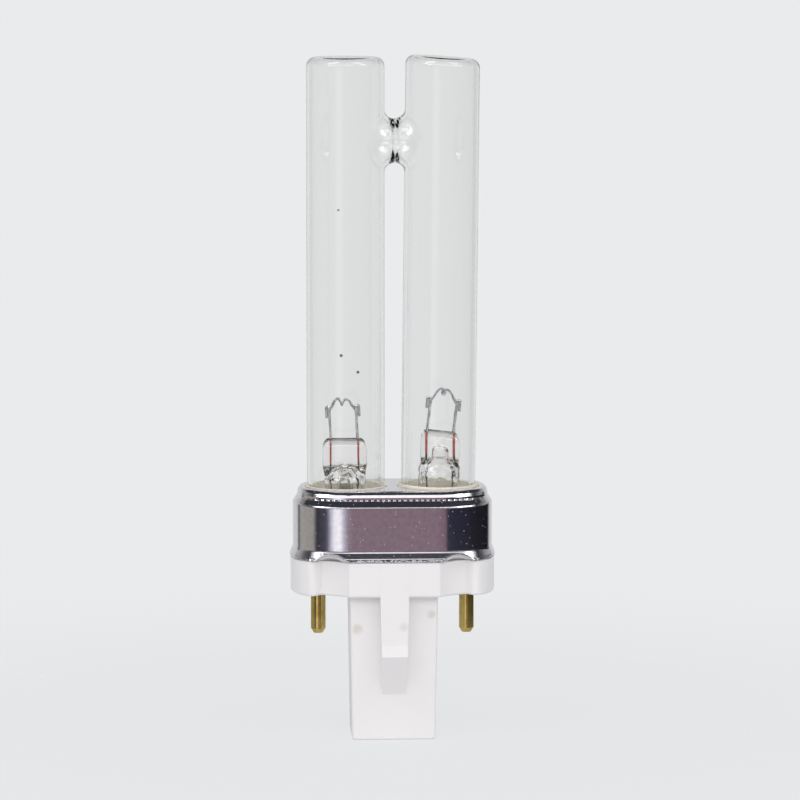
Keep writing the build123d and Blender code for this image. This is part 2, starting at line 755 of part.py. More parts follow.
with BuildPart() as base_moulding:
    add(plan_face(post_height, flange_out))
    extrude(amount=flange_height)
    add(flute_plans)
    extrude(amount=flange_height + 2, mode=Mode.SUBTRACT)
    upright_edges = base_moulding.edges().filter_by(Axis.Z)
    lobe_edges = upright_edges.filter_by(lambda e: abs(e.center().X) > flute_x + 0.5)
    fillet(lobe_edges, lobe_round)
    panel_edges = base_moulding.edges().filter_by(Axis.Z).filter_by(
        lambda e: abs(e.center().X) < panel_half + 0.3 and abs(e.center().Y) > flange_half_depth - 0.3
    )
    fillet(panel_edges, panel_round)
    fillet(base_moulding.faces().sort_by(Axis.Z)[0].outer_wire().edges(), flange_edge_round)
    add(plan_face(edge_z, -shell_thickness - spigot_clearance))
    extrude(amount=spigot_height)
    add(pocket_bars, mode=Mode.SUBTRACT)
    with BuildSketch(Plane.XY):
        RectangleRounded(post_foot_width, post_foot_depth, post_round)
    with BuildSketch(Plane.XY.offset(post_height)):
        RectangleRounded(post_top_width, post_top_depth, post_round)
    loft(ruled=True)
    fillet(base_moulding.faces().sort_by(Axis.Z)[0].edges(), post_round * 0.6)
    add(catch_rib.part)
    add(mirror(catch_rib.part, about=Plane.XZ, mode=Mode.PRIVATE))
    with BuildSketch(Plane.XY.offset(cavity_z)):
        RectangleRounded(2 * cavity_half_width, 2 * (flute_floor - post_wall), 2.0)
        RectangleRounded(2 * (panel_half - post_wall), 2 * (shell_half_depth - 2 * post_wall), 1.0)
    extrude(amount=flange_height + spigot_height, mode=Mode.SUBTRACT)
    with BuildSketch(Plane.XY.offset(post_floor)):
        RectangleRounded(post_foot_width - 2 * post_wall, post_foot_depth - 2 * post_wall, 0.4)
    extrude(amount=cavity_z - post_floor + 0.5, mode=Mode.SUBTRACT)
    with BuildSketch(Plane.XY.offset(post_height - 1)):
        with Locations((-pin_x, 0), (pin_x, 0)):
            Circle(pin_diameter / 2 + pin_shank_step)
    extrude(amount=flange_floor + 2, mode=Mode.SUBTRACT)
base_moulding.part.label = "base_moulding"
export_step(base_moulding.part, "parts/base_moulding.step")


def pin_form(x):
    """Turned hollow pin: chamfered tip below the flange, collar on the moulding's floor."""
    radius = pin_diameter / 2
    tip_z = post_height - pin_length
    collar_z = cavity_z + pin_collar_height
    with BuildPart() as pin:
        with BuildSketch(Plane(origin=(x, 0, 0), x_dir=(1, 0, 0), z_dir=(0, -1, 0))):
            with BuildLine():
                Polyline(
                    (pin_bore / 2 * 0.5, tip_z),
                    (radius - pin_tip_chamfer, tip_z),
                    (radius, tip_z + pin_tip_chamfer * 1.6),
                    (radius, post_height),
                    (radius + pin_shank_step, post_height),
                    (radius + pin_shank_step, cavity_z),
                    (pin_collar_diameter / 2, cavity_z),
                    (pin_collar_diameter / 2, collar_z),
                    (pin_bore / 2, collar_z),
                    (pin_bore / 2, tip_z + 1.0),
                    (pin_bore / 2 * 0.5, tip_z + 0.6),
                    close=True,
                )
            make_face()
        revolve(axis=Axis((x, 0, 0), (0, 0, 1)))
    return pin


# Brass contact pins
left_contact_pin = pin_form(-pin_x)
left_contact_pin.part.label = "left_contact_pin"
export_step(left_contact_pin.part, "parts/left_contact_pin.step")

right_contact_pin = pin_form(pin_x)
right_contact_pin.part.label = "right_contact_pin"
export_step(right_contact_pin.part, "parts/right_contact_pin.step")

# Glow starter: sealed glass bulb standing on the post's floor
bulb_top = post_floor + bulb_height
with BuildPart() as glow_starter_bulb:
    with BuildSketch(Plane(origin=(bulb_x, 0, 0), x_dir=(1, 0, 0), z_dir=(0, -1, 0))):
        with BuildLine():
            foot = Line((0, post_floor), (bulb_radius * 0.4, post_floor))
            heel = ThreePointArc(
                foot @ 1,
                (bulb_radius * 0.85, post_floor + bulb_radius * 0.22),
                (bulb_radius, post_floor + bulb_radius * 0.7),
            )
            side = Line(heel @ 1, (bulb_radius, bulb_top - bulb_radius * 0.7))
            crown = ThreePointArc(
                side @ 1,
                (bulb_radius * 0.85, bulb_top - bulb_radius * 0.22),
                (bulb_radius * 0.5, bulb_top),
            )
            Line(crown @ 1, (0, bulb_top))
            Line((0, bulb_top), (0, post_floor))
        make_face()
    revolve(axis=Axis((bulb_x, 0, 0), (0, 0, 1)))
glow_starter_bulb.part.label = "glow_starter_bulb"
export_step(glow_starter_bulb.part, "parts/glow_starter_bulb.step")

# Interference capacitor beside the bulb
capacitor_top = post_floor + capacitor_height
with BuildPart() as starter_capacitor:
    with BuildSketch(Plane.XY.offset(post_floor)):
        with Locations((capacitor_x, 0)):
            RectangleRounded(capacitor_width, capacitor_depth, 0.8)
    extrude(amount=capacitor_height)
    fillet(starter_capacitor.faces().sort_by(Axis.Z)[-1].edges(), 0.5)
starter_capacitor.part.label = "starter_capacitor"
export_step(starter_capacitor.part, "parts/starter_capacitor.step")

# Wires from the starter parts up to the two splices
lead_step = bulb_radius * 0.3
low_z = splice_z - splice_length / 2 - 1.2
meet_z = splice_z - 0.1

left_starter_wire = round_wire([
    (bulb_x - lead_step, 0, bulb_top),
    (bulb_x - lead_step, 0, bulb_top + 2.0),
    (-splice_x, -0.35, low_z),
    (-splice_x, -0.35, meet_z),
], starter_wire_radius, 0.6)
left_starter_wire.part.label = "left_starter_wire"
export_step(left_starter_wire.part, "parts/left_starter_wire.step")

right_starter_wire = round_wire([
    (bulb_x + lead_step, 0, bulb_top),
    (bulb_x + lead_step, 0, bulb_top + 2.0),
    (splice_x, -0.35, low_z),
    (splice_x, -0.35, meet_z),
], starter_wire_radius, 0.6)
right_starter_wire.part.label = "right_starter_wire"
export_step(right_starter_wire.part, "parts/right_starter_wire.step")

left_capacitor_wire = round_wire([
    (capacitor_x, capacitor_depth * 0.3, capacitor_top),
    (capacitor_x, capacitor_depth * 0.3, bulb_top + 1.0),
    (-splice_x, capacitor_depth * 0.3, low_z - 1.0),
    (-splice_x, 0.35, low_z),
    (-splice_x, 0.35, meet_z),
], starter_wire_radius, 0.6)
left_capacitor_wire.part.label = "left_capacitor_wire"
export_step(left_capacitor_wire.part, "parts/left_capacitor_wire.step")

right_capacitor_wire = round_wire([
    (capacitor_x, -capacitor_depth * 0.3, capacitor_top),
    (capacitor_x, -capacitor_depth * 0.3, bulb_top + 2.5),
    (splice_x + 0.3, 0.9, low_z - 0.6),
    (splice_x, 0.35, low_z + 0.8),
    (splice_x, 0.35, meet_z),
], starter_wire_radius, 0.5)
right_capacitor_wire.part.label = "right_capacitor_wire"
export_step(right_capacitor_wire.part, "parts/right_capacitor_wire.step")


def splice_form(x):
    """Rounded bead of solder round the wire ends that meet in it."""
    with BuildPart() as bead:
        with Locations((x, 0, splice_z)):
            Cylinder(splice_radius, splice_length)
        fillet(bead.edges().filter_by(GeomType.CIRCLE), splice_radius * 0.6)
    return bead.part


# Solder splices
left_bead = splice_form(-splice_x)

with BuildPart() as left_splice:
    add(left_bead)
    add(left_inboard_tail.part, mode=Mode.SUBTRACT)
    add(left_starter_wire.part, mode=Mode.SUBTRACT)
    add(left_capacitor_wire.part, mode=Mode.SUBTRACT)
left_splice.part.label = "left_splice"
export_step(left_splice.part, "parts/left_splice.step")

right_bead = splice_form(splice_x)

with BuildPart() as right_splice:
    add(right_bead)
    add(right_inboard_tail.part, mode=Mode.SUBTRACT)
    add(right_starter_wire.part, mode=Mode.SUBTRACT)
    add(right_capacitor_wire.part, mode=Mode.SUBTRACT)
right_splice.part.label = "right_splice"
export_step(right_splice.part, "parts/right_splice.step")

# Drops of mercury clinging to the inside of the left tube
drop_places = [(-0.82, 20.7, 0.24), (1.64, 18.1, 0.22), (-1.2, 43.0, 0.16)]
bore_radius = left_tube_diameter / 2 - tube_wall
with BuildPart() as mercury_drops:
    for across, height, radius in drop_places:
        reach = bore_radius - radius * 0.6
        drop_y = -sqrt(reach * reach - across * across)
        with Locations((left_tube_x + across, drop_y, land_z + height)):
            Sphere(radius)
    add(left_inner, mode=Mode.INTERSECT)
mercury_drops.part.label = "mercury_drops"
export_step(mercury_drops.part, "parts/mercury_drops.step")
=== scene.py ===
# %% [markdown]
# Twin-tube germicidal lamp on a push-in base.
# The frame gives every solid at its real place, in metres. The metal cap, the white moulding, the pins and
# the straight wires keep their solids and only get finishes here. Clear glass shows every facet, so the
# envelope and the two stems are made again as fine smooth surfaces, and the filaments as real coils.

# %% Load the frame
import json
import math

import bmesh
import bpy
import numpy as np
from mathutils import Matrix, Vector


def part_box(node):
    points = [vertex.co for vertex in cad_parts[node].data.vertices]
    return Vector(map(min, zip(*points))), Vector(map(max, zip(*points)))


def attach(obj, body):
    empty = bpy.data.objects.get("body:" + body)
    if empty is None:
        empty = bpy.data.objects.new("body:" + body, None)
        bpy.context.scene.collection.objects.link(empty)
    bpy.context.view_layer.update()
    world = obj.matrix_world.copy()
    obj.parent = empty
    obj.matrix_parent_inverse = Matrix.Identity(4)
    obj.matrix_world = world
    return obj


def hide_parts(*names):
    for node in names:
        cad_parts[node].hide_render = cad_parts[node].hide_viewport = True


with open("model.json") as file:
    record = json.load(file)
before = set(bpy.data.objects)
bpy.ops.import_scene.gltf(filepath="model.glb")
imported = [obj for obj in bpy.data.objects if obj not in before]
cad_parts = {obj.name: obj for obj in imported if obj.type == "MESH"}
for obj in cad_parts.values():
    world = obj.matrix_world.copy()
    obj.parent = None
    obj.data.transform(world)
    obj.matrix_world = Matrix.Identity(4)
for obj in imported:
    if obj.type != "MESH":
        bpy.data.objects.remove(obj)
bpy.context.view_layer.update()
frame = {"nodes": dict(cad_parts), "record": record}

MM = 0.001


# %% [markdown]
# Pieces are surfaces on a grid: rows of points, one row after another, with a quad between four neighbours.
# Grids that share an edge are welded into one mesh, so glass has no open seams for light to leak through.

# %% Helpers for surfaces
weld_distance = 1e-7


def grid_quads(rows, columns, closed=False):
    """Quads of a grid stored row by row; closed also joins the last column to the first."""
    row = np.arange(rows - 1)[:, None] * columns
    column = np.arange(columns if closed else columns - 1)[None, :]
    beside = (column + 1) % columns
    corners = [row + column, row + beside, row + columns + beside, row + columns + column]
    return np.stack(np.broadcast_arrays(*corners), axis=-1).reshape(-1, 4)


def make_piece(name, sheets, material, replaced=()):
    """Mesh of all sheets, each a pair of points in millimetres and quads, welded where edges meet."""
    starts = np.cumsum([0] + [len(points) for points, _ in sheets])
    points = np.concatenate([points for points, _ in sheets]) * MM
    quads = np.concatenate([quads + start for (_, quads), start in zip(sheets, starts)])
    mesh = bpy.data.meshes.new(name)
    mesh.from_pydata(points.tolist(), [], quads.tolist())
    welded = bmesh.new()
    welded.from_mesh(mesh)
    bmesh.ops.remove_doubles(welded, verts=welded.verts, dist=weld_distance)
    bmesh.ops.recalc_face_normals(welded, faces=welded.faces)
    open_edges = sum(edge.is_boundary for edge in welded.edges)
    welded.to_mesh(mesh)
    welded.free()
    mesh.polygons.foreach_set("use_smooth", np.ones(len(mesh.polygons), dtype=bool))
    mesh.materials.append(material)
    piece = bpy.data.objects.new(name, mesh)
    bpy.context.collection.objects.link(piece)
    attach(piece, "root")
    if replaced:
        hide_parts(*replaced)
    print(name, "quads", len(mesh.polygons), "open edges", open_edges)
    return piece


def smooth_curve(stations, values, samples):
    """Cubic Hermite curve through values at stations, with slopes from neighbouring stations."""
    stations = np.asarray(stations, float)
    values = np.asarray(values, float)
    slopes = np.gradient(values, stations, axis=0)
    k = np.clip(np.searchsorted(stations, samples, side="right") - 1, 0, len(stations) - 2)
    step = stations[k + 1] - stations[k]
    t = (samples - stations[k]) / step
    if values.ndim == 2:
        t, step = t[:, None], step[:, None]
    start, end = values[k], values[k + 1]
    rise = (1 + 2 * t) * (1 - t) ** 2 * start + t * t * (3 - 2 * t) * end
    return rise + step * (t * (1 - t) ** 2 * slopes[k] + t * t * (t - 1) * slopes[k + 1])


# %% [markdown]
# Colours are written as the sRGB values that the eye reads, and one function turns them to linear light.
# Another adds one node with its settings and links, which is all that a material tree needs.

# %% Helpers for materials
def to_linear(hex_colour):
    """Linear RGBA of an sRGB hex value: c / 12.92 when dark, else ((c + 0.055) / 1.055) to the power 2.4."""
    srgb = np.array([int(hex_colour[i:i + 2], 16) for i in (1, 3, 5)]) / 255
    linear = np.where(srgb <= 0.04045, srgb / 12.92, ((srgb + 0.055) / 1.055) ** 2.4)
    return (*linear.tolist(), 1.0)


def add_node(tree, kind, settings=None, **sockets):
    """Node of one kind, with its settings and links.

    Settings are the node's properties, with a colour ramp's stops among them. Sockets are input values, or
    outputs to link, by name in lower case, or by place as i0, i1 and so on.
    """
    node = tree.nodes.new(kind)
    settings = dict(settings or {})
    for place, (position, colour) in enumerate(settings.pop("stops", [])):
        band = node.color_ramp.elements
        stop = band[place] if place < 2 else band.new(position)
        stop.position = position
        stop.color = colour
    for key, value in settings.items():
        setattr(node, key, value)
    names = {f"i{place}": socket for place, socket in enumerate(node.inputs)}
    for socket in reversed(node.inputs):
        if socket.enabled:
            names[socket.name.lower().replace(" ", "_")] = socket
    for key, value in sockets.items():
        if isinstance(value, bpy.types.NodeSocket):
            tree.links.new(value, names[key])
        else:
            names[key].default_value = value
    return node


def new_material(name):
    """Empty node material with its output, and the tree to fill."""
    material = bpy.data.materials.new(name)
    material.use_nodes = True
    tree = material.node_tree
    tree.nodes.clear()
    return material, tree


def finish_material(tree, shader):
    """Link a shader to the material's output."""
    add_node(tree, "ShaderNodeOutputMaterial", surface=shader)


def grey(value):
    """Linear grey as a ramp colour."""
    return (value, value, value, 1.0)


# %% [markdown]
# Fused quartz is drawn into tube, which leaves faint lines along its length. It is colourless, with an IOR of
# 1.46. Lamps have to reach the wires inside, so shadow rays pass straight through.

# %% Drawn quartz tube
def finish_glass(tree, glass):
    """Link a glass shader to the material's output, and let the shadow rays of lamps straight through."""
    clear = add_node(tree, "ShaderNodeBsdfTransparent").outputs["BSDF"]
    lamp_ray = add_node(tree, "ShaderNodeLightPath").outputs["Is Shadow Ray"]
    mixed = add_node(tree, "ShaderNodeMixShader", i0=lamp_ray, i1=glass, i2=clear).outputs["Shader"]
    finish_material(tree, mixed)


def make_clear_quartz():
    """Clear drawn quartz: smooth glass with faint lines about 0.9 mm apart, 250 times as long along Z."""
    material, tree = new_material("drawn_quartz")
    place = add_node(tree, "ShaderNodeTexCoord").outputs["Object"]
    across = 1 / (0.9 * MM)
    along = across * 0.004
    stretched = add_node(tree, "ShaderNodeMapping", vector=place,
                         scale=(across, across, along)).outputs["Vector"]
    lines = add_node(tree, "ShaderNodeTexNoise", vector=stretched, scale=1.0, detail=2.0).outputs["Fac"]
    bump = add_node(tree, "ShaderNodeBump", strength=0.4, distance=0.04 * MM, height=lines).outputs["Normal"]
    glass = add_node(tree, "ShaderNodeBsdfPrincipled", base_color=to_linear("#FDFDFC"), roughness=0.0,
                     ior=1.46, transmission_weight=1.0, normal=bump).outputs["BSDF"]
    finish_glass(tree, glass)
    return material


clear_quartz = make_clear_quartz()
print("quartz material:", clear_quartz.name)

# %% [markdown]
# The envelope is two closed tubes, joined near the top by a short neck: each tube is opened sideways while it
# is soft, and the two rims are pushed together. A revolved profile gives a tube, but not the neck. So each
# skin is a grid round the tube with a window left open, and a second grid runs from the window's rim over a
# rounded blend and along the neck to the seam, where both tubes' grids meet point for point.

# %% Sizes of the envelope in millimetres
# The land is the cap's flat top, and a rise is a height above it. The foot is the cut end of the tubes.
land_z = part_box("cap_shell")[1][2] / MM
foot_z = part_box("glass_envelope")[0][2] / MM
tube_wall = 0.85
tube_rise = 66.1
end_round = 1.4
inner_round = 0.75
end_wall = 0.5
neck_rise = 53.25
neck_z = land_z + neck_rise
tubes = {
    "left": {"x": -7.2, "radius": 6.0, "lean": 0.0, "end_tilt": 0.0, "facing": 1},
    "right": {"x": 7.06, "radius": 5.725, "lean": 0.6, "end_tilt": 3.3, "facing": -1},
}
around = 160
window_columns = 56
window_left = around // 2 - window_columns // 2
window_rows = 48
window_half_height = 5.4
neck_radius = 3.5
neck_blend = 1.3
seam_groove = 0.06
groove_width = 0.2
seam_bead = 0.4
bead_width = 0.5
slant_start = 5
slant_length = 4


def lean_offset(tube, height):
    """How far a leaning tube's axis has moved along X at a height above the land."""
    return height * math.tan(math.radians(tube["lean"]))


seam_x = (tubes["left"]["x"] + tubes["left"]["radius"]
          + tubes["right"]["x"] + lean_offset(tubes["right"], neck_rise) - tubes["right"]["radius"]) / 2
print("seam at x", round(seam_x, 3), "neck at z", round(neck_z, 2))

# %% [markdown]
# A tube is worked out upright in its own coordinates: x towards the other tube, and z up from the land. Only
# the last step leans it and sets it in its place, so both tubes share every formula.

# %% Skins of one tube
low_rows = 24
high_rows = 10
corner_rows = 13
end_rows = 10


def place_on_tube(tube, local):
    """From tube coordinates, x towards the other tube and z above the land, to the frame in millimetres."""
    lean = math.radians(tube["lean"])
    across = tube["facing"] * local[..., 0]
    x = tube["x"] + across * math.cos(lean) + local[..., 2] * math.sin(lean)
    z = land_z + local[..., 2] * math.cos(lean) - across * math.sin(lean)
    return np.stack([x, local[..., 1], z], axis=-1)


def tube_rows(radius, top, corner):
    """Meridian of a closed tube: radius and height of each row, and the rows that bound the neck's window."""
    low = np.linspace(foot_z - land_z, neck_rise - window_half_height, low_rows)
    middle = np.linspace(neck_rise - window_half_height, neck_rise + window_half_height, window_rows + 1)[1:]
    high = np.linspace(neck_rise + window_half_height, top - corner, high_rows)[1:]
    turn = np.linspace(0, math.pi / 2, corner_rows)[1:]
    flat = np.linspace(radius - corner, 0, end_rows)[1:]
    straight = np.concatenate([low, middle, high])
    radii = np.concatenate([np.full(len(straight), radius), radius - corner + corner * np.cos(turn), flat])
    heights = np.concatenate([straight, top - corner + corner * np.sin(turn), np.full(len(flat), top)])
    return radii, heights, len(low) - 1, len(low) - 1 + window_rows


def tube_grid(tube, inset):
    """Skin of one tube in tube coordinates: x = r cos a, y = r sin a, sheared near its slanted end."""
    radius = tube["radius"] - inset
    top = tube_rise if inset == 0 else tube_rise - end_wall
    corner = end_round if inset == 0 else inner_round
    radii, heights, first, last = tube_rows(radius, top, corner)
    angle = -math.pi + np.arange(around) * 2 * math.pi / around
    x = radii[:, None] * np.cos(angle)
    y = radii[:, None] * np.sin(angle)
    ease = np.clip((heights - (top - slant_start)) / slant_length, 0, 1)[:, None]
    slant = math.tan(math.radians(tube["end_tilt"])) * ease * ease * (3 - 2 * ease)
    z = heights[:, None] - tube["facing"] * x * slant
    return np.stack([x, y, z], axis=-1), first, last


def window_rim(first, last):
    """Row and column of each point on the window's rim, once round from its lower left corner."""
    right = window_left + window_columns
    columns = np.arange(window_left, right)
    rows = np.arange(first, last)
    rim_rows = np.concatenate([np.full(window_columns, first), rows,
                               np.full(window_columns, last), rows[::-1] + 1])
    rim_columns = np.concatenate([columns, np.full(window_rows, right),
                                  columns[::-1] + 1, np.full(window_rows, window_left)])
    return rim_rows, rim_columns


def rim_angles(tube, inset):
    """Angle of each rim point about the neck's axis."""
    grid, first, last = tube_grid(tube, inset)
    rim = grid[window_rim(first, last)]
    return np.unwrap(np.arctan2(rim[:, 2] - neck_rise, rim[:, 1]))


# %% [markdown]
# The neck starts at the window's rim, on the tube, and turns outwards over a blend like the fillet that soft
# glass makes by itself. Its bore follows at the thickness of the wall, and at the seam a bead stands inside
# and a fine groove outside, where the two rims ran together.

# %% Skins of the neck
skirt_rows = 12
blend_rows = 18
neck_rows = 18


def neck_grid(tube, turn):
    """Outside of the neck from the window's rim to the seam, in tube coordinates.

    It runs along the tube, over a conic blend, and along the neck. In each half-plane through the neck's axis
    the blend is the conic with weight cos 45 degrees between the tube's tangent line and the neck's line,
    which is a quarter circle where the two are square.
    """
    grid, first, last = tube_grid(tube, 0.0)
    rim = grid[window_rim(first, last)]
    radius = tube["radius"]
    start = neck_radius + neck_blend
    y_unit, z_unit = np.cos(turn), np.sin(turn)

    share = np.linspace(0, 1, skirt_rows)[:, None]
    y = rim[:, 1] + share * (start * y_unit - rim[:, 1])
    z = rim[:, 2] - neck_rise + share * (start * z_unit - rim[:, 2] + neck_rise)
    on_tube = np.stack([np.sqrt(radius ** 2 - y ** 2), y, neck_rise + z], axis=-1)

    start_x = np.sqrt(radius ** 2 - (start * y_unit) ** 2)
    bend_x = start_x + start * y_unit ** 2 / start_x * neck_blend
    end_x = bend_x + neck_blend
    t = np.linspace(0, 1, blend_rows)[1:, None]
    weights = [(1 - t) ** 2, 2 * math.cos(math.pi / 4) * t * (1 - t), t ** 2]
    total = sum(weights)
    x = (weights[0] * start_x + weights[1] * bend_x + weights[2] * end_x) / total
    r = (weights[0] * start + (weights[1] + weights[2]) * neck_radius) / total
    on_blend = np.stack([x, r * y_unit, neck_rise + r * z_unit], axis=-1)

    u = np.linspace(0, 1, neck_rows)[1:, None]
    x = end_x + u * (seam_place(tube) - end_x)
    ones = np.ones_like(u)
    on_neck = np.stack([x, ones * neck_radius * y_unit, neck_rise + ones * neck_radius * z_unit], axis=-1)
    return np.concatenate([on_tube, on_blend, on_neck])


def seam_place(tube):
    """How far the seam is from a tube's axis, in tube coordinates."""
    return tube["facing"] * (seam_x - tube["x"] - lean_offset(tube, neck_rise))


def neck_skins(tube, turn):
    """Outside and bore of the neck: the bore lies one wall inside along the normal, and swells at the seam.

    The swelling is a bell curve of the distance to the seam, and the groove outside is a narrower one.
    """
    grid = neck_grid(tube, turn)
    along = np.gradient(grid, axis=0)
    round_way = np.roll(grid, -1, axis=1) - np.roll(grid, 1, axis=1)
    normal = np.cross(round_way, along)
    normal /= np.linalg.norm(normal, axis=2, keepdims=True)
    radial = np.stack([0 * turn, np.cos(turn), np.sin(turn)], axis=-1)
    normal *= np.sign(np.sum(normal[-1] * radial))
    normal[-1] = radial
    gap = seam_place(tube) - grid[..., :1]
    outside = grid - normal * seam_groove * np.exp(-(gap / groove_width) ** 2)
    bore = grid - normal * (tube_wall + seam_bead * np.exp(-(gap / bead_width) ** 2))
    inner, first, last = tube_grid(tube, tube_wall)
    bore[0] = inner[window_rim(first, last)]
    skins = []
    seam_radii = (neck_radius - seam_groove, neck_radius - tube_wall - seam_bead)
    for skin, seam_radius in zip((outside, bore), seam_radii):
        placed = place_on_tube(tube, skin)
        placed[-1] = (seam_x, 0, neck_z) + seam_radius * radial
        skins.append(placed)
    return skins


def envelope_sheets():
    """All sheets of the envelope: tube skins with their windows, necks, and the cut ends of the tubes."""
    sheets = []
    turn = (rim_angles(tubes["left"], 0.0) + rim_angles(tubes["right"], 0.0)) / 2
    for tube in tubes.values():
        feet = []
        for inset in (0.0, tube_wall):
            grid, first, last = tube_grid(tube, inset)
            placed = place_on_tube(tube, grid)
            feet.append(placed[0])
            quads = grid_quads(len(grid), around, closed=True).reshape(len(grid) - 1, around, 4)
            keep = np.ones(quads.shape[:2], dtype=bool)
            keep[first:last, window_left:window_left + window_columns] = False
            sheets.append((placed.reshape(-1, 3), quads[keep]))
        sheets.append((np.stack(feet).reshape(-1, 3), grid_quads(2, around, closed=True)))
        for rows in neck_skins(tube, turn):
            sheets.append((rows.reshape(-1, 3), grid_quads(len(rows), len(turn), closed=True)))
    return sheets


make_piece("quartz_envelope", envelope_sheets(), clear_quartz, ["glass_envelope"])

# %% [markdown]
# Each tube is closed from below by a stem: a flared glass tube whose top was heated and squeezed flat round
# the lead wires. Its section goes from a circle to a flat lozenge, which a superellipse does in one formula:
# |x / a| to the power p plus |y / b| to the power p is 1, with p rising from 2 to 4 on the way up.

# %% Soft glass of the stems
waves_reach = 15


def make_stem_glass():
    """Clear stem glass, flame worked: waves 1.2 mm long, strong at the foot of the press and at its crown.

    Their strength goes by height, from 0 at the foot of the tubes to 1 at the reach of the waves above it.
    """
    material, tree = new_material("pressed_stem_glass")
    place = add_node(tree, "ShaderNodeTexCoord").outputs["Object"]
    waves = add_node(tree, "ShaderNodeTexNoise", vector=place, scale=1 / (1.2 * MM),
                     detail=1.0).outputs["Fac"]
    height = add_node(tree, "ShaderNodeSeparateXYZ", vector=place).outputs["Z"]
    level = add_node(tree, "ShaderNodeMapRange", value=height, from_min=foot_z * MM,
                     from_max=(foot_z + waves_reach) * MM).outputs["Result"]
    strengths = [(0.0, grey(0.05)), (0.42, grey(0.1)), (0.5, grey(1.0)), (0.64, grey(1.0)),
                 (0.72, grey(0.12)), (0.83, grey(0.12)), (0.9, grey(0.55)), (1.0, grey(0.55))]
    squeezed = add_node(tree, "ShaderNodeValToRGB", {"stops": strengths}, fac=level).outputs["Color"]
    bump = add_node(tree, "ShaderNodeBump", strength=squeezed, distance=0.2 * MM,
                    height=waves).outputs["Normal"]
    glass = add_node(tree, "ShaderNodeBsdfPrincipled", base_color=to_linear("#FEFEFD"), roughness=0.0,
                     ior=1.52, transmission_weight=1.0, normal=bump).outputs["BSDF"]
    finish_glass(tree, glass)
    return material


stem_glass = make_stem_glass()
print("stem material:", stem_glass.name)

# %% [markdown]
# One closed skin makes a stem: down the hollow inside, round the flared rim that is sealed to the tube, and
# up the outside to the crown. Each row of numbers is a height, a half width, a half depth and a power, and a
# smooth curve through the rows gives the rings between them.

# %% Stem surfaces
stem_foot_z = foot_z + 0.4
stem_columns = 96
stem_clearance = 0.12
press_height = 6.7
tip_start = 4.3
tip_length = 3
stems = {
    "left": {"x": -7.2, "lean": -1.0, "tip": 1.0, "height": 13.25, "half_width": 3.45},
    "right": {"x": 6.995, "lean": 1.8, "tip": 5.0, "height": 14.35, "half_width": 3.1},
}


def superellipse_rows(controls, steps=8):
    """Rings through rows of height, half width, half depth and power.

    Each ring is x = a |cos t| to the power 2 / p, y = b |sin t| to the power 2 / p, with the signs kept.
    """
    stations = np.arange(len(controls))
    height, half_width, half_depth, power = smooth_curve(
        stations, controls, np.linspace(0, len(controls) - 1, steps * (len(controls) - 1) + 1)).T
    t = np.arange(stem_columns) * 2 * math.pi / stem_columns
    cosine, sine = np.cos(t), np.sin(t)
    x = half_width[:, None] * np.sign(cosine) * np.abs(cosine) ** (2 / power[:, None])
    y = half_depth[:, None] * np.sign(sine) * np.abs(sine) ** (2 / power[:, None])
    return np.stack([x, y, height[:, None] + 0 * x], axis=-1)


def place_stem(stem, local):
    """Tip a stem's top edge, lean the stem about its foot and set it on the tube's axis."""
    lean = math.radians(stem["lean"])
    ease = np.clip((local[..., 2] - stem["height"] + tip_start) / tip_length, 0, 1)
    up = local[..., 2] - local[..., 0] * math.tan(math.radians(stem["tip"])) * ease * ease * (3 - 2 * ease)
    x = stem["x"] + local[..., 0] * math.cos(lean) + up * math.sin(lean)
    z = stem_foot_z + up * math.cos(lean) - local[..., 0] * math.sin(lean)
    return np.stack([x, local[..., 1], z], axis=-1)


def left_hollow():
    """Rows of the left hollow: the exhaust tube's bore from its top, round its foot, up to the shoulder."""
    return [(9.05, 0, 0, 2), (9.0, 0.4, 0.4, 2), (8.7, 0.65, 0.65, 2), (8.0, 0.7, 0.7, 2), (4.5, 0.7, 0.7, 2),
            (1.0, 0.7, 0.7, 2), (0.5, 0.75, 0.75, 2), (0.4, 0.95, 0.95, 2), (0.5, 1.15, 1.15, 2),
            (1.0, 1.2, 1.2, 2), (4.5, 1.2, 1.2, 2), (7.7, 1.2, 1.2, 2), (8.25, 1.24, 1.22, 2),
            (8.42, 1.4, 1.3, 2), (8.2, 1.7, 1.45, 2), (7.5, 2.15, 1.85, 2)]


def right_hollow():
    """Rows of the right hollow, from the dome in the press down to the shoulder."""
    return [(12.15, 0, 0, 2), (12.1, 0.55, 0.3, 2), (11.85, 1.0, 0.58, 2), (11.4, 1.24, 0.72, 2),
            (10.8, 1.3, 0.75, 2), (10.0, 1.32, 0.76, 2), (9.6, 1.4, 0.85, 2), (9.25, 1.62, 1.15, 2),
            (8.7, 2.05, 1.65, 2)]


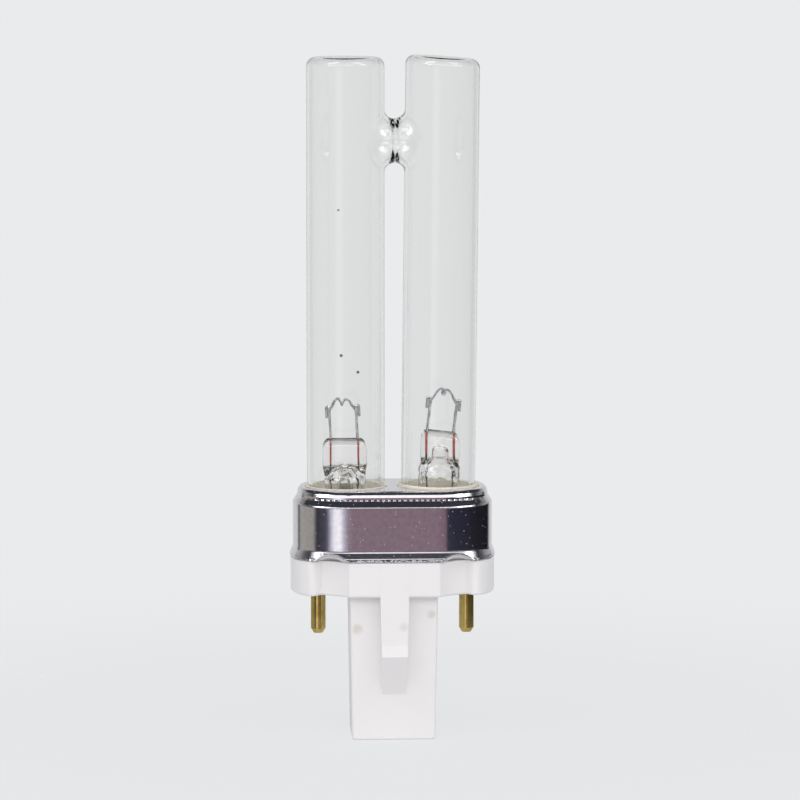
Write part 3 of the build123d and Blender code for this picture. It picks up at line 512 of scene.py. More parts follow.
def stem_sheets(stem, rim, hollow):
    """One skin: down the hollow to the flared rim, and up the outside to the crown of the press."""
    top = stem["height"]
    wide = stem["half_width"]
    neck = top - press_height
    inside = hollow + [(neck, 2.42, 2.4, 2), (neck - 1.4, 2.45, 2.45, 2), (3.0, 2.55, 2.55, 2),
                       (1.9, 3.1, 3.1, 2), (1.1, rim - 1.0, rim - 1.0, 2),
                       (0.4, rim - 0.75, rim - 0.75, 2), (0, rim - 0.7, rim - 0.7, 2)]
    outside = [(0, rim, rim, 2), (0.9, rim, rim, 2), (1.5, rim - 0.6, rim - 0.6, 2), (2.3, 3.75, 3.75, 2),
               (3.3, 3.3, 3.3, 2), (4.6, 3.2, 3.2, 2), (neck, 3.2, 3.18, 2), (neck + 0.9, 3.2, 2.75, 2.2),
               (neck + 1.65, wide - 0.15, 1.98, 2.8), (neck + 2.4, wide - 0.05, 1.45, 3.6),
               (top - 3.4, wide, 1.36, 4), (top - 2.3, wide, 1.36, 4), (top - 1.4, wide - 0.04, 1.36, 4),
               (top - 0.85, wide - 0.18, 1.24, 3.8), (top - 0.4, wide - 0.42, 0.96, 3.5),
               (top - 0.1, wide - 0.75, 0.5, 3.2), (top, wide - 1.1, 0.15, 3), (top, 0, 0, 3)]
    skin = superellipse_rows(np.array(inside + outside))
    return [(place_stem(stem, skin).reshape(-1, 3), grid_quads(len(skin), stem_columns, closed=True))]


for side, hollow in (("left", left_hollow()), ("right", right_hollow())):
    rim = tubes[side]["radius"] - tube_wall - stem_clearance
    sheets = stem_sheets(stems[side], rim, hollow)
    make_piece(f"{side}_pressed_stem", sheets, stem_glass, [f"{side}_stem"])

# %% [markdown]
# A filament is a fine tungsten wire wound into a coil and dipped in a pale grey oxide. The solids hold it as
# a plain rod. Here the wire itself is carried along a helix about the same line, so that the coil shows
# close up.

# %% Oxide-coated filament coils
def make_coated_coil():
    """Oxide-coated tungsten: dull mid grey, a little paler in 0.3 mm patches."""
    material, tree = new_material("oxide_coated_tungsten")
    place = add_node(tree, "ShaderNodeTexCoord").outputs["Object"]
    patches = add_node(tree, "ShaderNodeTexNoise", vector=place, scale=1 / (0.3 * MM),
                       detail=3.0).outputs["Fac"]
    tones = [(0.35, to_linear("#8A8C92")), (0.65, to_linear("#BCBEC4"))]
    colour = add_node(tree, "ShaderNodeValToRGB", {"stops": tones}, fac=patches).outputs["Color"]
    shader = add_node(tree, "ShaderNodeBsdfPrincipled", base_color=colour, roughness=0.6)
    finish_material(tree, shader.outputs["BSDF"])
    return material


coated_coil = make_coated_coil()
coil_radius = 0.14
coil_wire_radius = 0.08
coil_pitch = 0.19
coil_sides = 6
steps_per_turn = 14
lead_height = 5.1
mounts = {
    "left": {"x": -7.438, "z": land_z + 7.45, "lean": -3.0, "shape": [
        (-1.95, 0, -0.75), (-1.6, 0, -0.15), (-0.98, 0, 0.85), (-0.62, 0, 1.0), (-0.3, 0, 0.45),
        (-0.08, 0, -0.05), (0.14, 0, 0.35), (0.45, 0, 0.78), (0.85, 0, 0.75), (1.5, 0, -0.2),
        (1.95, 0, -0.9)]},
    "right": {"x": 7.459, "z": land_z + 8.55, "lean": 6.5, "shape": [
        (-1.95, 0, -0.6), (-1.55, 0, 0.1), (-1.1, 0, 0.95), (-0.6, -0.1, 1.3), (-0.1, -0.25, 1.05),
        (0.05, -0.1, 0.6), (-0.2, 0.05, 0.38), (-0.42, 0.2, 0.62), (-0.15, 0.28, 1.0), (0.35, 0.2, 1.18),
        (0.85, 0.05, 0.9), (1.45, 0, 0.05), (1.95, 0, -0.8)]},
}


def carried_ring(path, radius, sides):
    """Round section carried along a path: each ring lies square across the path, turned by a line near Y."""
    tangent = np.gradient(path, axis=0)
    tangent /= np.linalg.norm(tangent, axis=1, keepdims=True)
    near_y = [0.0, 1.0, 0.15]
    side_way = np.cross(tangent, near_y)
    side_way /= np.linalg.norm(side_way, axis=1, keepdims=True)
    up_way = np.cross(side_way, tangent)
    turn = np.arange(sides) * 2 * math.pi / sides
    ring = np.cos(turn)[None, :, None] * side_way[:, None] + np.sin(turn)[None, :, None] * up_way[:, None]
    rows = path[:, None] + radius * ring
    ends = [path[:1, None] + 0 * ring[:1], path[-1:, None] + 0 * ring[-1:]]
    return np.concatenate([ends[0], rows, ends[1]])


def coil_path(mount):
    """Helix about the filament's line: the line plus r (cos across + sin in depth), one turn each pitch."""
    lean = math.radians(mount["lean"])
    across, depth, up = (np.array(mount["shape"], float) + (0, 0, lead_height)).T
    line = np.stack([mount["x"] + across * math.cos(lean) + up * math.sin(lean), depth,
                     mount["z"] - across * math.sin(lean) + up * math.cos(lean)], axis=-1)
    chord = np.concatenate([[0], np.cumsum(np.linalg.norm(np.diff(line, axis=0), axis=1))])
    turns = chord[-1] / coil_pitch
    s = np.linspace(0, chord[-1], int(turns * steps_per_turn))
    centre = smooth_curve(chord, line, s)
    tangent = np.gradient(centre, axis=0)
    tangent /= np.linalg.norm(tangent, axis=1, keepdims=True)
    across_way = np.cross(tangent, [0.0, 1.0, 0.0])
    across_way /= np.linalg.norm(across_way, axis=1, keepdims=True)
    deep_way = np.cross(across_way, tangent)
    phase = (2 * math.pi * s / coil_pitch)[:, None]
    return centre + coil_radius * (np.cos(phase) * across_way + np.sin(phase) * deep_way)


for side, mount in mounts.items():
    rows = carried_ring(coil_path(mount), coil_wire_radius, coil_sides)
    coil = (rows.reshape(-1, 3), grid_quads(len(rows), coil_sides, closed=True))
    make_piece(f"{side}_filament_coil", [coil], coated_coil, [f"{side}_filament"])

# %% [markdown]
# Basing cement is a gritty cream putty. A little of it squeezed out round the foot of each tube: a thin line
# on the left, a wider and uneven bead on the right.

# %% Basing cement
def make_cement():
    """Cream basing cement: matt, with grit about 0.25 mm across."""
    material, tree = new_material("basing_putty")
    place = add_node(tree, "ShaderNodeTexCoord").outputs["Object"]
    grit = add_node(tree, "ShaderNodeTexNoise", vector=place, scale=1 / (0.25 * MM),
                    detail=4.0).outputs["Fac"]
    tones = [(0.3, to_linear("#E2DCCD")), (0.7, to_linear("#F6F1E5"))]
    colour = add_node(tree, "ShaderNodeValToRGB", {"stops": tones}, fac=grit).outputs["Color"]
    bump = add_node(tree, "ShaderNodeBump", strength=0.4, distance=0.05 * MM, height=grit).outputs["Normal"]
    shader = add_node(tree, "ShaderNodeBsdfPrincipled", base_color=colour, roughness=0.85, normal=bump)
    finish_material(tree, shader.outputs["BSDF"])
    return material


cement = make_cement()
bead_columns = 180
bead_section = 12
bead_gap = 0.02
bead_lift = 0.06
bead_sole = 0.15
beads = {
    "left": {"width": 0.08, "height": 0.07, "swell": 0.03, "phase": 0.4},
    "right": {"width": 0.34, "height": 0.26, "swell": 0.14, "phase": 2.2},
}


def bead_rows(tube, bead):
    """Ring round a tube's foot: a half-round section, flat below, that swells with two slow sine waves."""
    turn = np.linspace(0, 2 * math.pi, bead_columns + 1)[:-1]
    swell = np.sin(turn - bead["phase"]) * 0.7 + np.sin(3 * turn + bead["phase"]) * 0.3
    width = bead["width"] + bead["swell"] * swell
    height = bead["height"] + bead["swell"] * 0.6 * swell
    arc = np.linspace(0, 2 * math.pi, bead_section + 1)[:-1][:, None]
    radius = tube["radius"] + bead_gap + width * (0.5 + 0.5 * np.cos(arc))
    z = land_z + bead_lift + height * np.sin(arc) * np.where(np.sin(arc) > 0, 1.0, bead_sole)
    return np.stack([tube["x"] + radius * np.cos(turn), radius * np.sin(turn), z + 0 * turn], axis=-1)


for side, bead in beads.items():
    rows = bead_rows(tubes[side], bead)
    quads = grid_quads(len(rows) + 1, rows.shape[1], closed=True) % (len(rows) * rows.shape[1])
    make_piece(f"{side}_cement_bead", [(rows.reshape(-1, 3), quads)], cement)

# %% [markdown]
# The cap is aluminium strip, deep drawn and left bright. It mirrors the room, softened by fine drawing marks.
# The tool left a ring round the land that bulges a little, chatter marks at the foot of the ring, and an
# uneven lip at the bottom. They are too fine to model, so they are bumps in the finish.

# %% Relief of the cap
ring_height = 1.45
lip_start = 10.9
lip_end = 10.3


def cap_relief(tree, place, grain):
    """Normal of the cap, one bump on the last: waves 3 mm long, the ring, chatter 0.85 mm apart, lip, grain.

    A layer is a height, a strength and a depth in millimetres. The ring, the chatter and the lip are placed
    by how far they lie below the land.
    """
    waves = add_node(tree, "ShaderNodeTexNoise", vector=place, scale=1 / (3 * MM), detail=1.0).outputs["Fac"]
    height = add_node(tree, "ShaderNodeSeparateXYZ", vector=place).outputs["Z"]
    level = add_node(tree, "ShaderNodeMapRange", value=height, from_min=(land_z - ring_height) * MM,
                     from_max=land_z * MM).outputs["Result"]
    bulge = [(0.0, grey(0.0)), (0.17, grey(0.0)), (0.36, grey(1.0)), (0.59, grey(0.0))]
    ring = add_node(tree, "ShaderNodeValToRGB", {"stops": bulge}, fac=level).outputs["Color"]
    # One band of a wave texture is pi / 10 units wide at scale 1.
    dashes = add_node(tree, "ShaderNodeTexWave", vector=place, scale=math.pi / 10 / (0.85 * MM),
                      distortion=1.5, detail=1.0).outputs["Fac"]
    band = [(0.0, grey(0.0)), (0.02, grey(1.0)), (0.17, grey(0.0))]
    foot = add_node(tree, "ShaderNodeValToRGB", {"stops": band}, fac=level).outputs["Color"]
    chatter = add_node(tree, "ShaderNodeMath", {"operation": "MULTIPLY"}, i0=dashes, i1=foot).outputs["Value"]
    lip = add_node(tree, "ShaderNodeMapRange", value=height, from_min=(land_z - lip_start) * MM,
                   from_max=(land_z - lip_end) * MM, to_min=1.0, to_max=0.0).outputs["Result"]
    uneven = add_node(tree, "ShaderNodeTexNoise", vector=place, scale=1 / (0.5 * MM),
                      detail=2.0).outputs["Fac"]
    rolled = add_node(tree, "ShaderNodeMath", {"operation": "MULTIPLY"}, i0=lip, i1=uneven).outputs["Value"]
    layers = ((waves, 0.2, 0.06), (ring, 1.0, 0.03), (chatter, 1.0, 0.08), (rolled, 1.0, 0.42),
              (grain, 0.15, 0.01))
    below = {}
    for shape, strength, depth in layers:
        bump = add_node(tree, "ShaderNodeBump", strength=strength, distance=depth * MM, height=shape, **below)
        below = {"normal": bump.outputs["Normal"]}
    return below["normal"]


# %% [markdown]
# Bare aluminium is never one even tone: it is a little mottled, and it holds dust, which shows as pale
# specks. A speck isn't metal, so the finish is less metallic there.

# %% Bright drawn aluminium
def make_aluminium():
    """Bright drawn aluminium: mirror with 0.2 mm grain, mottled in 0.7 mm clouds, with 0.12 mm dust."""
    material, tree = new_material("bright_drawn_aluminium")
    place = add_node(tree, "ShaderNodeTexCoord").outputs["Object"]
    grain = add_node(tree, "ShaderNodeTexNoise", vector=place, scale=1 / (0.2 * MM),
                     detail=3.0).outputs["Fac"]
    cells = add_node(tree, "ShaderNodeTexVoronoi", vector=place, scale=1 / (0.75 * MM)).outputs["Distance"]
    specks = [(0.0, grey(1.0)), (0.06, grey(1.0)), (0.1, grey(0.0))]
    dust = add_node(tree, "ShaderNodeValToRGB", {"stops": specks}, fac=cells).outputs["Color"]
    cloud = add_node(tree, "ShaderNodeTexNoise", vector=place, scale=1 / (0.7 * MM),
                     detail=4.0).outputs["Fac"]
    tones = [(0.3, to_linear("#D0CED3")), (0.7, to_linear("#DDDBDF"))]
    bright = add_node(tree, "ShaderNodeValToRGB", {"stops": tones}, fac=cloud).outputs["Color"]
    colour = add_node(tree, "ShaderNodeMix", {"data_type": "RGBA"}, factor=dust, a=bright,
                      b=to_linear("#F4F2F8")).outputs[2]
    rough = add_node(tree, "ShaderNodeMapRange", value=grain, to_min=0.1, to_max=0.18).outputs["Result"]
    metal = add_node(tree, "ShaderNodeMapRange", value=dust, to_min=1.0, to_max=0.3).outputs["Result"]
    shader = add_node(tree, "ShaderNodeBsdfPrincipled", base_color=colour, metallic=metal, roughness=rough,
                      normal=cap_relief(tree, place, grain))
    finish_material(tree, shader.outputs["BSDF"])
    return material


bright_aluminium = make_aluminium()
print("cap material:", bright_aluminium.name)

# %% [markdown]
# The base is a white thermoplastic moulding, satin from its tool, with a little light going in under the
# skin. A few faint beige stains sit on it.

# %% White moulding
# Place and reach of each stain in millimetres.
stains = ((5.8, -6.2, 19.6, 1.0), (1.4, -9.0, 18.1, 1.1), (-5.6, -6.2, 17.3, 1.2))


def make_white_plastic():
    """White moulded thermoplastic: satin, faint 0.4 mm tool texture and three beige stains on the post."""
    material, tree = new_material("white_moulded_plastic")
    place = add_node(tree, "ShaderNodeTexCoord").outputs["Object"]
    texture = add_node(tree, "ShaderNodeTexNoise", vector=place, scale=1 / (0.4 * MM),
                       detail=3.0).outputs["Fac"]
    cloud = add_node(tree, "ShaderNodeTexNoise", vector=place, scale=1 / (0.9 * MM),
                     detail=2.0).outputs["Fac"]
    colour = to_linear("#F5F4F3")
    for x, y, z, reach in stains:
        away = add_node(tree, "ShaderNodeVectorMath", {"operation": "DISTANCE"}, i0=place,
                        i1=(x * MM, y * MM, z * MM)).outputs["Value"]
        near = add_node(tree, "ShaderNodeMapRange", {"interpolation_type": "SMOOTHSTEP"}, value=away,
                        from_min=reach * MM, from_max=0.2 * reach * MM, to_max=0.9).outputs["Result"]
        stain = add_node(tree, "ShaderNodeMath", {"operation": "MULTIPLY"}, i0=near,
                         i1=cloud).outputs["Value"]
        colour = add_node(tree, "ShaderNodeMix", {"data_type": "RGBA"}, factor=stain, a=colour,
                          b=to_linear("#CFC4B2")).outputs[2]
    bump = add_node(tree, "ShaderNodeBump", strength=0.08, distance=0.02 * MM,
                    height=texture).outputs["Normal"]
    shader = add_node(tree, "ShaderNodeBsdfPrincipled", base_color=colour, roughness=0.38, ior=1.49,
                      subsurface_weight=0.12, subsurface_radius=(1.0, 0.9, 0.85), subsurface_scale=0.8 * MM,
                      normal=bump)
    finish_material(tree, shader.outputs["BSDF"])
    return material


white_plastic = make_white_plastic()
print("base material:", white_plastic.name, "stains", len(stains))

# %% [markdown]
# The pins are turned brass, a little tarnished. Turning leaves fine rings round them.

# %% Turned brass
def make_brass():
    """Turned brass with tarnish: rings 0.25 mm apart, drawn coarser than the real 0.1 mm, to show."""
    material, tree = new_material("turned_brass")
    place = add_node(tree, "ShaderNodeTexCoord").outputs["Object"]
    tarnish = add_node(tree, "ShaderNodeTexNoise", vector=place, scale=1 / (1.6 * MM),
                       detail=2.0).outputs["Fac"]
    tones = [(0.3, to_linear("#B09A55")), (0.55, to_linear("#CDB56C")), (0.8, to_linear("#DCC680"))]
    colour = add_node(tree, "ShaderNodeValToRGB", {"stops": tones}, fac=tarnish).outputs["Color"]
    turned = add_node(tree, "ShaderNodeMapping", vector=place,
                      scale=(0.0, 0.0, 1 / (0.25 * MM))).outputs["Vector"]
    rings = add_node(tree, "ShaderNodeTexNoise", vector=turned, scale=1.0, detail=2.0).outputs["Fac"]
    bump = add_node(tree, "ShaderNodeBump", strength=0.1, distance=0.03 * MM, height=rings).outputs["Normal"]
    rough = add_node(tree, "ShaderNodeMapRange", value=tarnish, to_min=0.2, to_max=0.11).outputs["Result"]
    shader = add_node(tree, "ShaderNodeBsdfPrincipled", base_color=colour, metallic=1.0, roughness=rough,
                      normal=bump)
    finish_material(tree, shader.outputs["BSDF"])
    return material


turned_brass = make_brass()
print("pin material:", turned_brass.name)

# %% [markdown]
# The small parts: nickel leads, copper-clad seal wires that look red through the glass, dark oxidised tail
# wires, and the starter parts that stay out of sight inside the post.

# %% Wires and small parts
def make_small_finish(name, dark, light, grain_mm, metallic, roughness):
    """Plain finish whose colour drifts between two tones in patches of a real size."""
    material, tree = new_material(name)
    place = add_node(tree, "ShaderNodeTexCoord").outputs["Object"]
    patches = add_node(tree, "ShaderNodeTexNoise", vector=place, scale=1 / (grain_mm * MM),
                       detail=3.0).outputs["Fac"]
    tones = [(0.3, to_linear(dark)), (0.7, to_linear(light))]
    colour = add_node(tree, "ShaderNodeValToRGB", {"stops": tones}, fac=patches).outputs["Color"]
    bump = add_node(tree, "ShaderNodeBump", strength=0.15, distance=0.02 * MM,
                    height=patches).outputs["Normal"]
    shader = add_node(tree, "ShaderNodeBsdfPrincipled", base_color=colour, metallic=metallic,
                      roughness=roughness, normal=bump)
    finish_material(tree, shader.outputs["BSDF"])
    return material


# Name, dark tone, light tone, size of the patches in millimetres, metallic and roughness.
finishes = {
    "nickel_wire": make_small_finish("drawn_nickel_wire", "#9C9B99", "#DCDBDA", 0.35, 0.9, 0.27),
    "copper_clad_wire": make_small_finish("copper_clad_wire", "#A8372C", "#C9564A", 0.4, 0.3, 0.45),
    "tail_wire": make_small_finish("oxidised_tail_wire", "#2E2822", "#5A5048", 0.4, 0.6, 0.5),
    "starter_glass": make_small_finish("starter_glass", "#B9C2BE", "#D7DEDA", 1.0, 0.0, 0.15),
    "capacitor_case": make_small_finish("dipped_capacitor_resin", "#8E4A22", "#A85E30", 0.8, 0.0, 0.3),
    "solder": make_small_finish("tin_solder", "#9C9CA0", "#C8C8CC", 0.3, 1.0, 0.35),
    "mercury": make_small_finish("mercury", "#6A6A6E", "#8A8A8E", 0.5, 1.0, 0.15),
    "basing_cement": cement,
    "white_plastic": white_plastic,
    "brass": turned_brass,
    "polished_aluminium": bright_aluminium,
    "clear_quartz": clear_quartz,
    "stem_glass": stem_glass,
    "coated_coil": coated_coil,
}
slots = {row["node"]: row["material_slot"] for row in frame["record"]["subparts"]}
for name, node in frame["nodes"].items():
    node.material_slots[0].material = finishes[slots[name]]
print("finished nodes:", len(frame["nodes"]))

# %% [markdown]
# A plain studio: a pale floor that fades into the backdrop, a wide low light panel at the front, two soft
# boxes above it, and a room that bright metal can mirror. The camera sees only the plain backdrop colour.
# Mirrored, bent and loose rays each see the room in their own way, because a small studio set looks different
# from the front of a metal cap, through a glass tube and to a matt surface.

# %% Floor
backdrop_colour = to_linear("#EAEBEC")
floor_radius = 200 * MM
floor_drop = 0.02 * MM
floor_sides = 64
fade_start = 30 * MM
fade_end = 170 * MM
glow_share = 0.84


def make_floor():
    """Pale floor disc that fades out between 30 and 170 mm from the lamp, with its shadows softened."""
    material, tree = new_material("pale_floor")
    place = add_node(tree, "ShaderNodeTexCoord").outputs["Object"]
    away = add_node(tree, "ShaderNodeVectorMath", {"operation": "LENGTH"}, vector=place).outputs["Value"]
    fade = add_node(tree, "ShaderNodeMapRange", {"interpolation_type": "SMOOTHSTEP"}, value=away,
                    from_min=fade_start, from_max=fade_end).outputs["Result"]
    card = add_node(tree, "ShaderNodeBsdfDiffuse", color=to_linear("#E6E6E7")).outputs["BSDF"]
    glow = add_node(tree, "ShaderNodeEmission", color=backdrop_colour).outputs["Emission"]
    looked_at = add_node(tree, "ShaderNodeLightPath").outputs["Is Camera Ray"]
    share = add_node(tree, "ShaderNodeMath", {"operation": "MULTIPLY"}, i0=looked_at,
                     i1=glow_share).outputs["Value"]
    near = add_node(tree, "ShaderNodeMixShader", i0=share, i1=card, i2=glow).outputs["Shader"]
    clear = add_node(tree, "ShaderNodeBsdfTransparent").outputs["BSDF"]
    finish_material(tree, add_node(tree, "ShaderNodeMixShader", i0=fade, i1=near, i2=clear).outputs["Shader"])
    floor_mesh = bpy.data.meshes.new("floor")
    turn = np.linspace(0, 2 * math.pi, floor_sides + 1)[:-1]
    rim = np.stack([floor_radius * np.cos(turn), floor_radius * np.sin(turn), 0 * turn - floor_drop], axis=-1)
    floor_mesh.from_pydata(rim.tolist(), [], [list(range(floor_sides))])
    floor_mesh.materials.append(material)
    floor = bpy.data.objects.new("floor", floor_mesh)
    bpy.context.collection.objects.link(floor)
    return floor


print("floor:", make_floor().name)

# %% [markdown]
# A bright metal shows the room more than itself. The tones run round the lamp by angle, with the front at 0
# and the right side positive. By height there are a grey wall, a light panel and a dark ceiling above them,
# and pale ground below, and each tilt of the cap picks out one of these.

# %% Room as mirrors see it
mirrored_box = grey(12.0)


def degrees_ramp(stops):
    """Ramp stops from degrees: -180 to 180 becomes 0 to 1. A tone is a hex value or a lamp's strength."""
    places = [(degrees + 180) / 360 for degrees, _ in stops]
    tones = [to_linear(tone) if isinstance(tone, str) else grey(tone) for _, tone in stops]
    return list(zip(places, tones))


def mirrored_room(tree, turn, rise, boxes):
    """Tones by angle from the front; higher up a grey wall, a light panel, soft boxes and a dark ceiling."""
    tones = [(-180, "#DCDDDE"), (-138, "#DCDDDE"), (-131, "#5A5F58"), (-124, "#8A8C86"), (-116, "#B4B2AA"),
             (-70, "#A9A79F"), (-58, "#34343E"), (-36, "#4A4A58"), (-30, "#E4E0F2"),
             (-24, 1.3), (-17, 1.3), (-12, "#E8E2F4"), (-4, "#94808A"), (15, "#8C737D"), (19, "#2C2E42"),
             (70, "#1C1C24"), (130, "#17171C"), (142, "#DCDDDE"), (180, "#DCDDDE")]
    wall = [(-180, "#DCDDDE"), (-135, "#C8C8C8"), (-80, "#3A3A40"), (-66, "#8A8890"), (66, "#8A8890"),
            (80, "#26262C"), (135, "#C8C8C8"), (180, "#DCDDDE")]
    panel = [(-180, "#C8C8C8"), (-120, "#8A8A8A"), (-80, "#3A3A40"), (-66, 1.6), (66, 1.6), (80, "#26262C"),
             (120, "#8A8A8A"), (180, "#C8C8C8")]
    looks = [add_node(tree, "ShaderNodeValToRGB", {"stops": degrees_ramp(stops)}, fac=turn).outputs["Color"]
             for stops in (tones, wall, panel)]
    # Rise at which each layer starts and is full: wall, panel, ceiling and ground.
    heights = ((0.10, 0.17), (0.31, 0.35), (0.48, 0.52), (-0.3, -0.5))
    shares = [add_node(tree, "ShaderNodeMapRange", {"interpolation_type": "SMOOTHSTEP"}, value=rise,
                       from_min=start, from_max=end).outputs["Result"] for start, end in heights]
    layers = ((shares[0], looks[1]), (shares[1], looks[2]), (boxes, mirrored_box),
              (shares[2], to_linear("#3C3C44")), (shares[3], to_linear("#D9D8D8")))
    room = looks[0]
    for share, view in layers:
        room = add_node(tree, "ShaderNodeMix", {"data_type": "RGBA"}, factor=share, a=room, b=view).outputs[2]
    return room


# %% [markdown]
# Glass bends the view, so near its outline it shows what stands beside the lamp. A level ray through a tube
# meets the pale set, which keeps the tubes light from every side. The neck and the waves of the stems bend
# rays upwards to the dark walls, and that draws their dark lines. Matt surfaces get loose light, which has
# no shapes in it.

# %% Room through glass, and loose light
bent_box = grey(4.0)


def bent_room(tree, turn, rise):
    """Pale backdrop all round low down, dark walls beside it from the horizon up, and a grey ceiling."""
    pale = [(-180, "#E5E6E8"), (-168, "#E2E3E5"), (-150, "#E0E1E3"), (-133, "#D7D8D9"), (-110, "#D6D7D8"),
            (110, "#D6D7D8"), (133, "#D7D8D9"), (150, "#E0E1E3"), (168, "#E2E3E5"), (180, "#E5E6E8")]
    dark = [(-180, "#E5E6E8"), (-150, "#E0E1E3"), (-133, "#D7D8D9"), (-117, "#1E1E1C"), (-45, "#181816"),
            (-25, "#9A9A98"), (25, "#9A9A98"), (45, "#181816"), (117, "#1E1E1C"), (133, "#D7D8D9"),
            (150, "#E0E1E3"), (180, "#E5E6E8")]
    room = add_node(tree, "ShaderNodeValToRGB", {"stops": degrees_ramp(pale)}, fac=turn).outputs["Color"]
    walls = add_node(tree, "ShaderNodeValToRGB", {"stops": degrees_ramp(dark)}, fac=turn).outputs["Color"]
    for above, start, end in ((walls, -0.035, 0.01), (to_linear("#D2D2D2"), 0.35, 0.65)):
        share = add_node(tree, "ShaderNodeMapRange", {"interpolation_type": "SMOOTHSTEP"}, value=rise,
                         from_min=start, from_max=end).outputs["Result"]
        room = add_node(tree, "ShaderNodeMix", {"data_type": "RGBA"}, factor=share, a=room,
                        b=above).outputs[2]
    return room


def soft_boxes(tree, turn, rise):
    """Two tall soft boxes at the front left and right: 1 inside them and 0 outside."""
    boxes = [(-180, 0.0), (-67, 0.0), (-62, 1.0), (-40, 1.0), (-35, 0.0), (35, 0.0), (40, 1.0), (62, 1.0),
             (67, 0.0), (180, 0.0)]
    columns = add_node(tree, "ShaderNodeValToRGB", {"stops": degrees_ramp(boxes)}, fac=turn).outputs["Color"]
    band = [(0.0, grey(0.0)), (0.68, grey(0.0)), (0.72, grey(1.0)), (0.955, grey(1.0)), (0.975, grey(0.0))]
    height = add_node(tree, "ShaderNodeMapRange", value=rise, from_min=-1.0, from_max=1.0).outputs["Result"]
    rows = add_node(tree, "ShaderNodeValToRGB", {"stops": band}, fac=height).outputs["Color"]
    return add_node(tree, "ShaderNodeMath", {"operation": "MULTIPLY"}, i0=columns, i1=rows).outputs["Value"]


def loose_light(tree, rise):
    """Even light that is stronger from the horizon than from overhead."""
    tones = [(0.0, to_linear("#AAAAAF")), (0.45, to_linear("#D6D6DA")), (0.68, to_linear("#D2D2D7")),
             (0.85, to_linear("#AAAAB0")), (1.0, to_linear("#98989E"))]
    height = add_node(tree, "ShaderNodeMapRange", value=rise, from_min=-1.0, from_max=1.0).outputs["Result"]
    return add_node(tree, "ShaderNodeValToRGB", {"stops": tones}, fac=height).outputs["Color"]


# %% [markdown]
# One world holds all of these. The direction of a ray gives the place in the room, and its kind says which of
# the looks it sees.

# %% World
def make_room():
    """World by direction: a ray's angle from the front and its rise pick what it sees, by kind of ray."""
    world = bpy.data.worlds.new("studio_room")
    world.use_nodes = True
    tree = world.node_tree
    tree.nodes.clear()
    way = add_node(tree, "ShaderNodeTexCoord").outputs["Generated"]
    parts = add_node(tree, "ShaderNodeSeparateXYZ", vector=way)
    rise = parts.outputs["Z"]
    front = add_node(tree, "ShaderNodeMath", {"operation": "MULTIPLY"}, i0=parts.outputs["Y"], i1=-1.0)
    angle = add_node(tree, "ShaderNodeMath", {"operation": "ARCTAN2"}, i0=parts.outputs["X"],
                     i1=front.outputs["Value"]).outputs["Value"]
    turn = add_node(tree, "ShaderNodeMapRange", value=angle, from_min=-math.pi,
                    from_max=math.pi).outputs["Result"]
    path = add_node(tree, "ShaderNodeLightPath").outputs
    sharp = add_node(tree, "ShaderNodeMath", {"operation": "MAXIMUM"}, i0=path["Is Glossy Ray"],
                     i1=path["Is Transmission Ray"]).outputs["Value"]
    boxes = soft_boxes(tree, turn, rise)
    bent = add_node(tree, "ShaderNodeMix", {"data_type": "RGBA"}, factor=boxes, a=bent_room(tree, turn, rise),
                    b=bent_box).outputs[2]
    room = add_node(tree, "ShaderNodeMix", {"data_type": "RGBA"}, factor=path["Is Transmission Ray"],
                    a=mirrored_room(tree, turn, rise, boxes), b=bent).outputs[2]
    seen = loose_light(tree, rise)
    for share, view in ((sharp, room), (path["Is Camera Ray"], backdrop_colour)):
        seen = add_node(tree, "ShaderNodeMix", {"data_type": "RGBA"}, factor=share, a=seen, b=view).outputs[2]
    light = add_node(tree, "ShaderNodeBackground", color=seen, strength=1.0).outputs["Background"]
    add_node(tree, "ShaderNodeOutputWorld", surface=light)
    bpy.context.scene.world = world
    return world


print("world nodes:", len(make_room().node_tree.nodes))

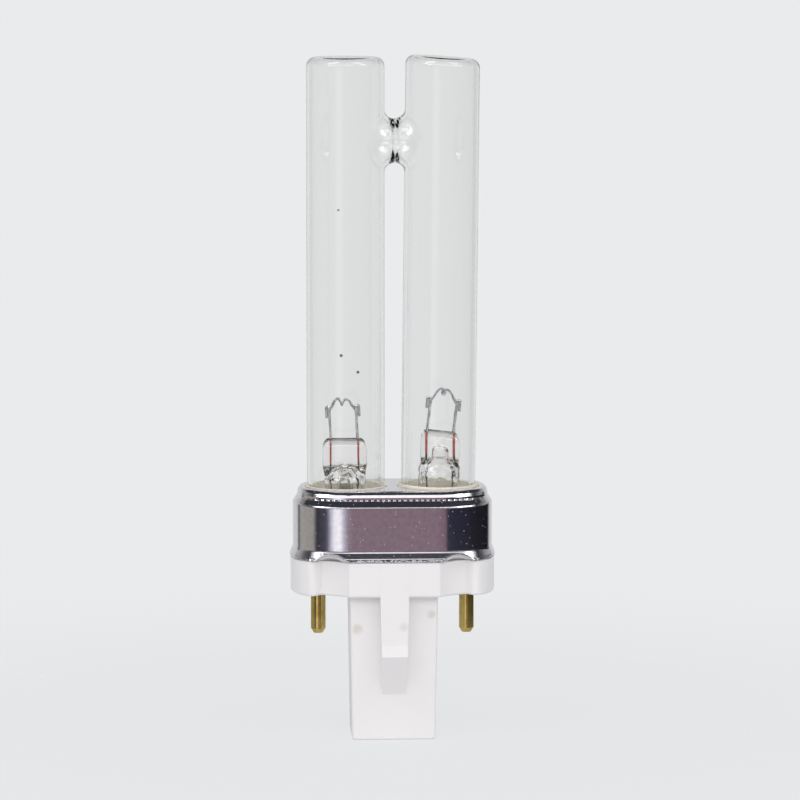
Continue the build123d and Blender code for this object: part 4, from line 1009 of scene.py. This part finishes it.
# %% [markdown]
# Three area lamps light the matt surfaces. Mirror rays leave them out, because the room already holds a panel
# and soft boxes for those.

# %% Lamps of the studio
def look_from(azimuth, elevation, distance, target):
    """Place and turn of something that looks at target: azimuth 0 is the front, positive to the right."""
    a, e = math.radians(azimuth), math.radians(elevation)
    away = np.array([math.sin(a) * math.cos(e), -math.cos(a) * math.cos(e), math.sin(e)])
    turn = (math.pi / 2 - e, 0.0, a)
    return tuple(np.array(target) + distance * away), turn


lamp_middle = (0.0, 0.0, 50 * MM)
light_distance = 650 * MM
warm_white = (1.0, 0.98, 0.95)
# Name, azimuth and elevation in degrees, width and height in metres, and watts.
lights = (("front_panel", 0, 20, 0.9, 0.2, 1.4), ("left_softbox", -50, 50, 0.3, 0.5, 0.75),
          ("right_softbox", 50, 50, 0.3, 0.5, 0.55))
for name, azimuth, elevation, width, height, watts in lights:
    light = bpy.data.lights.new(name, "AREA")
    light.shape = "RECTANGLE"
    light.size = width
    light.size_y = height
    light.energy = watts
    light.color = warm_white
    lamp = bpy.data.objects.new(name, light)
    lamp.location, lamp.rotation_euler = look_from(azimuth, elevation, light_distance, lamp_middle)
    lamp.visible_glossy = False
    bpy.context.collection.objects.link(lamp)
    print(name, "at", np.round(lamp.location, 3))

# %% [markdown]
# The photograph was taken from a little above and a little to the left, from far enough away that upright
# lines stay upright. A long lens with a small downward pitch gives the same.

# %% Camera
photo_mm = 123.5
sensor_mm = 36.0
camera_distance = 750.0
camera_azimuth = -2.5
camera_elevation = 6.6
camera_data = bpy.data.cameras.new("camera")
camera_data.sensor_width = sensor_mm
camera_data.lens = sensor_mm * camera_distance / photo_mm
camera_data.clip_start = 0.05
camera = bpy.data.objects.new("camera", camera_data)
photo_centre = (1.19 * MM, 0.0, 52.1 * MM)
camera.location, camera.rotation_euler = look_from(camera_azimuth, camera_elevation, camera_distance * MM,
                                                   photo_centre)
bpy.context.collection.objects.link(camera)
bpy.context.scene.camera = camera
bpy.context.scene.view_settings.view_transform = "Standard"
print("camera at", np.round(camera.location, 3), "lens in mm", round(camera_data.lens, 1))
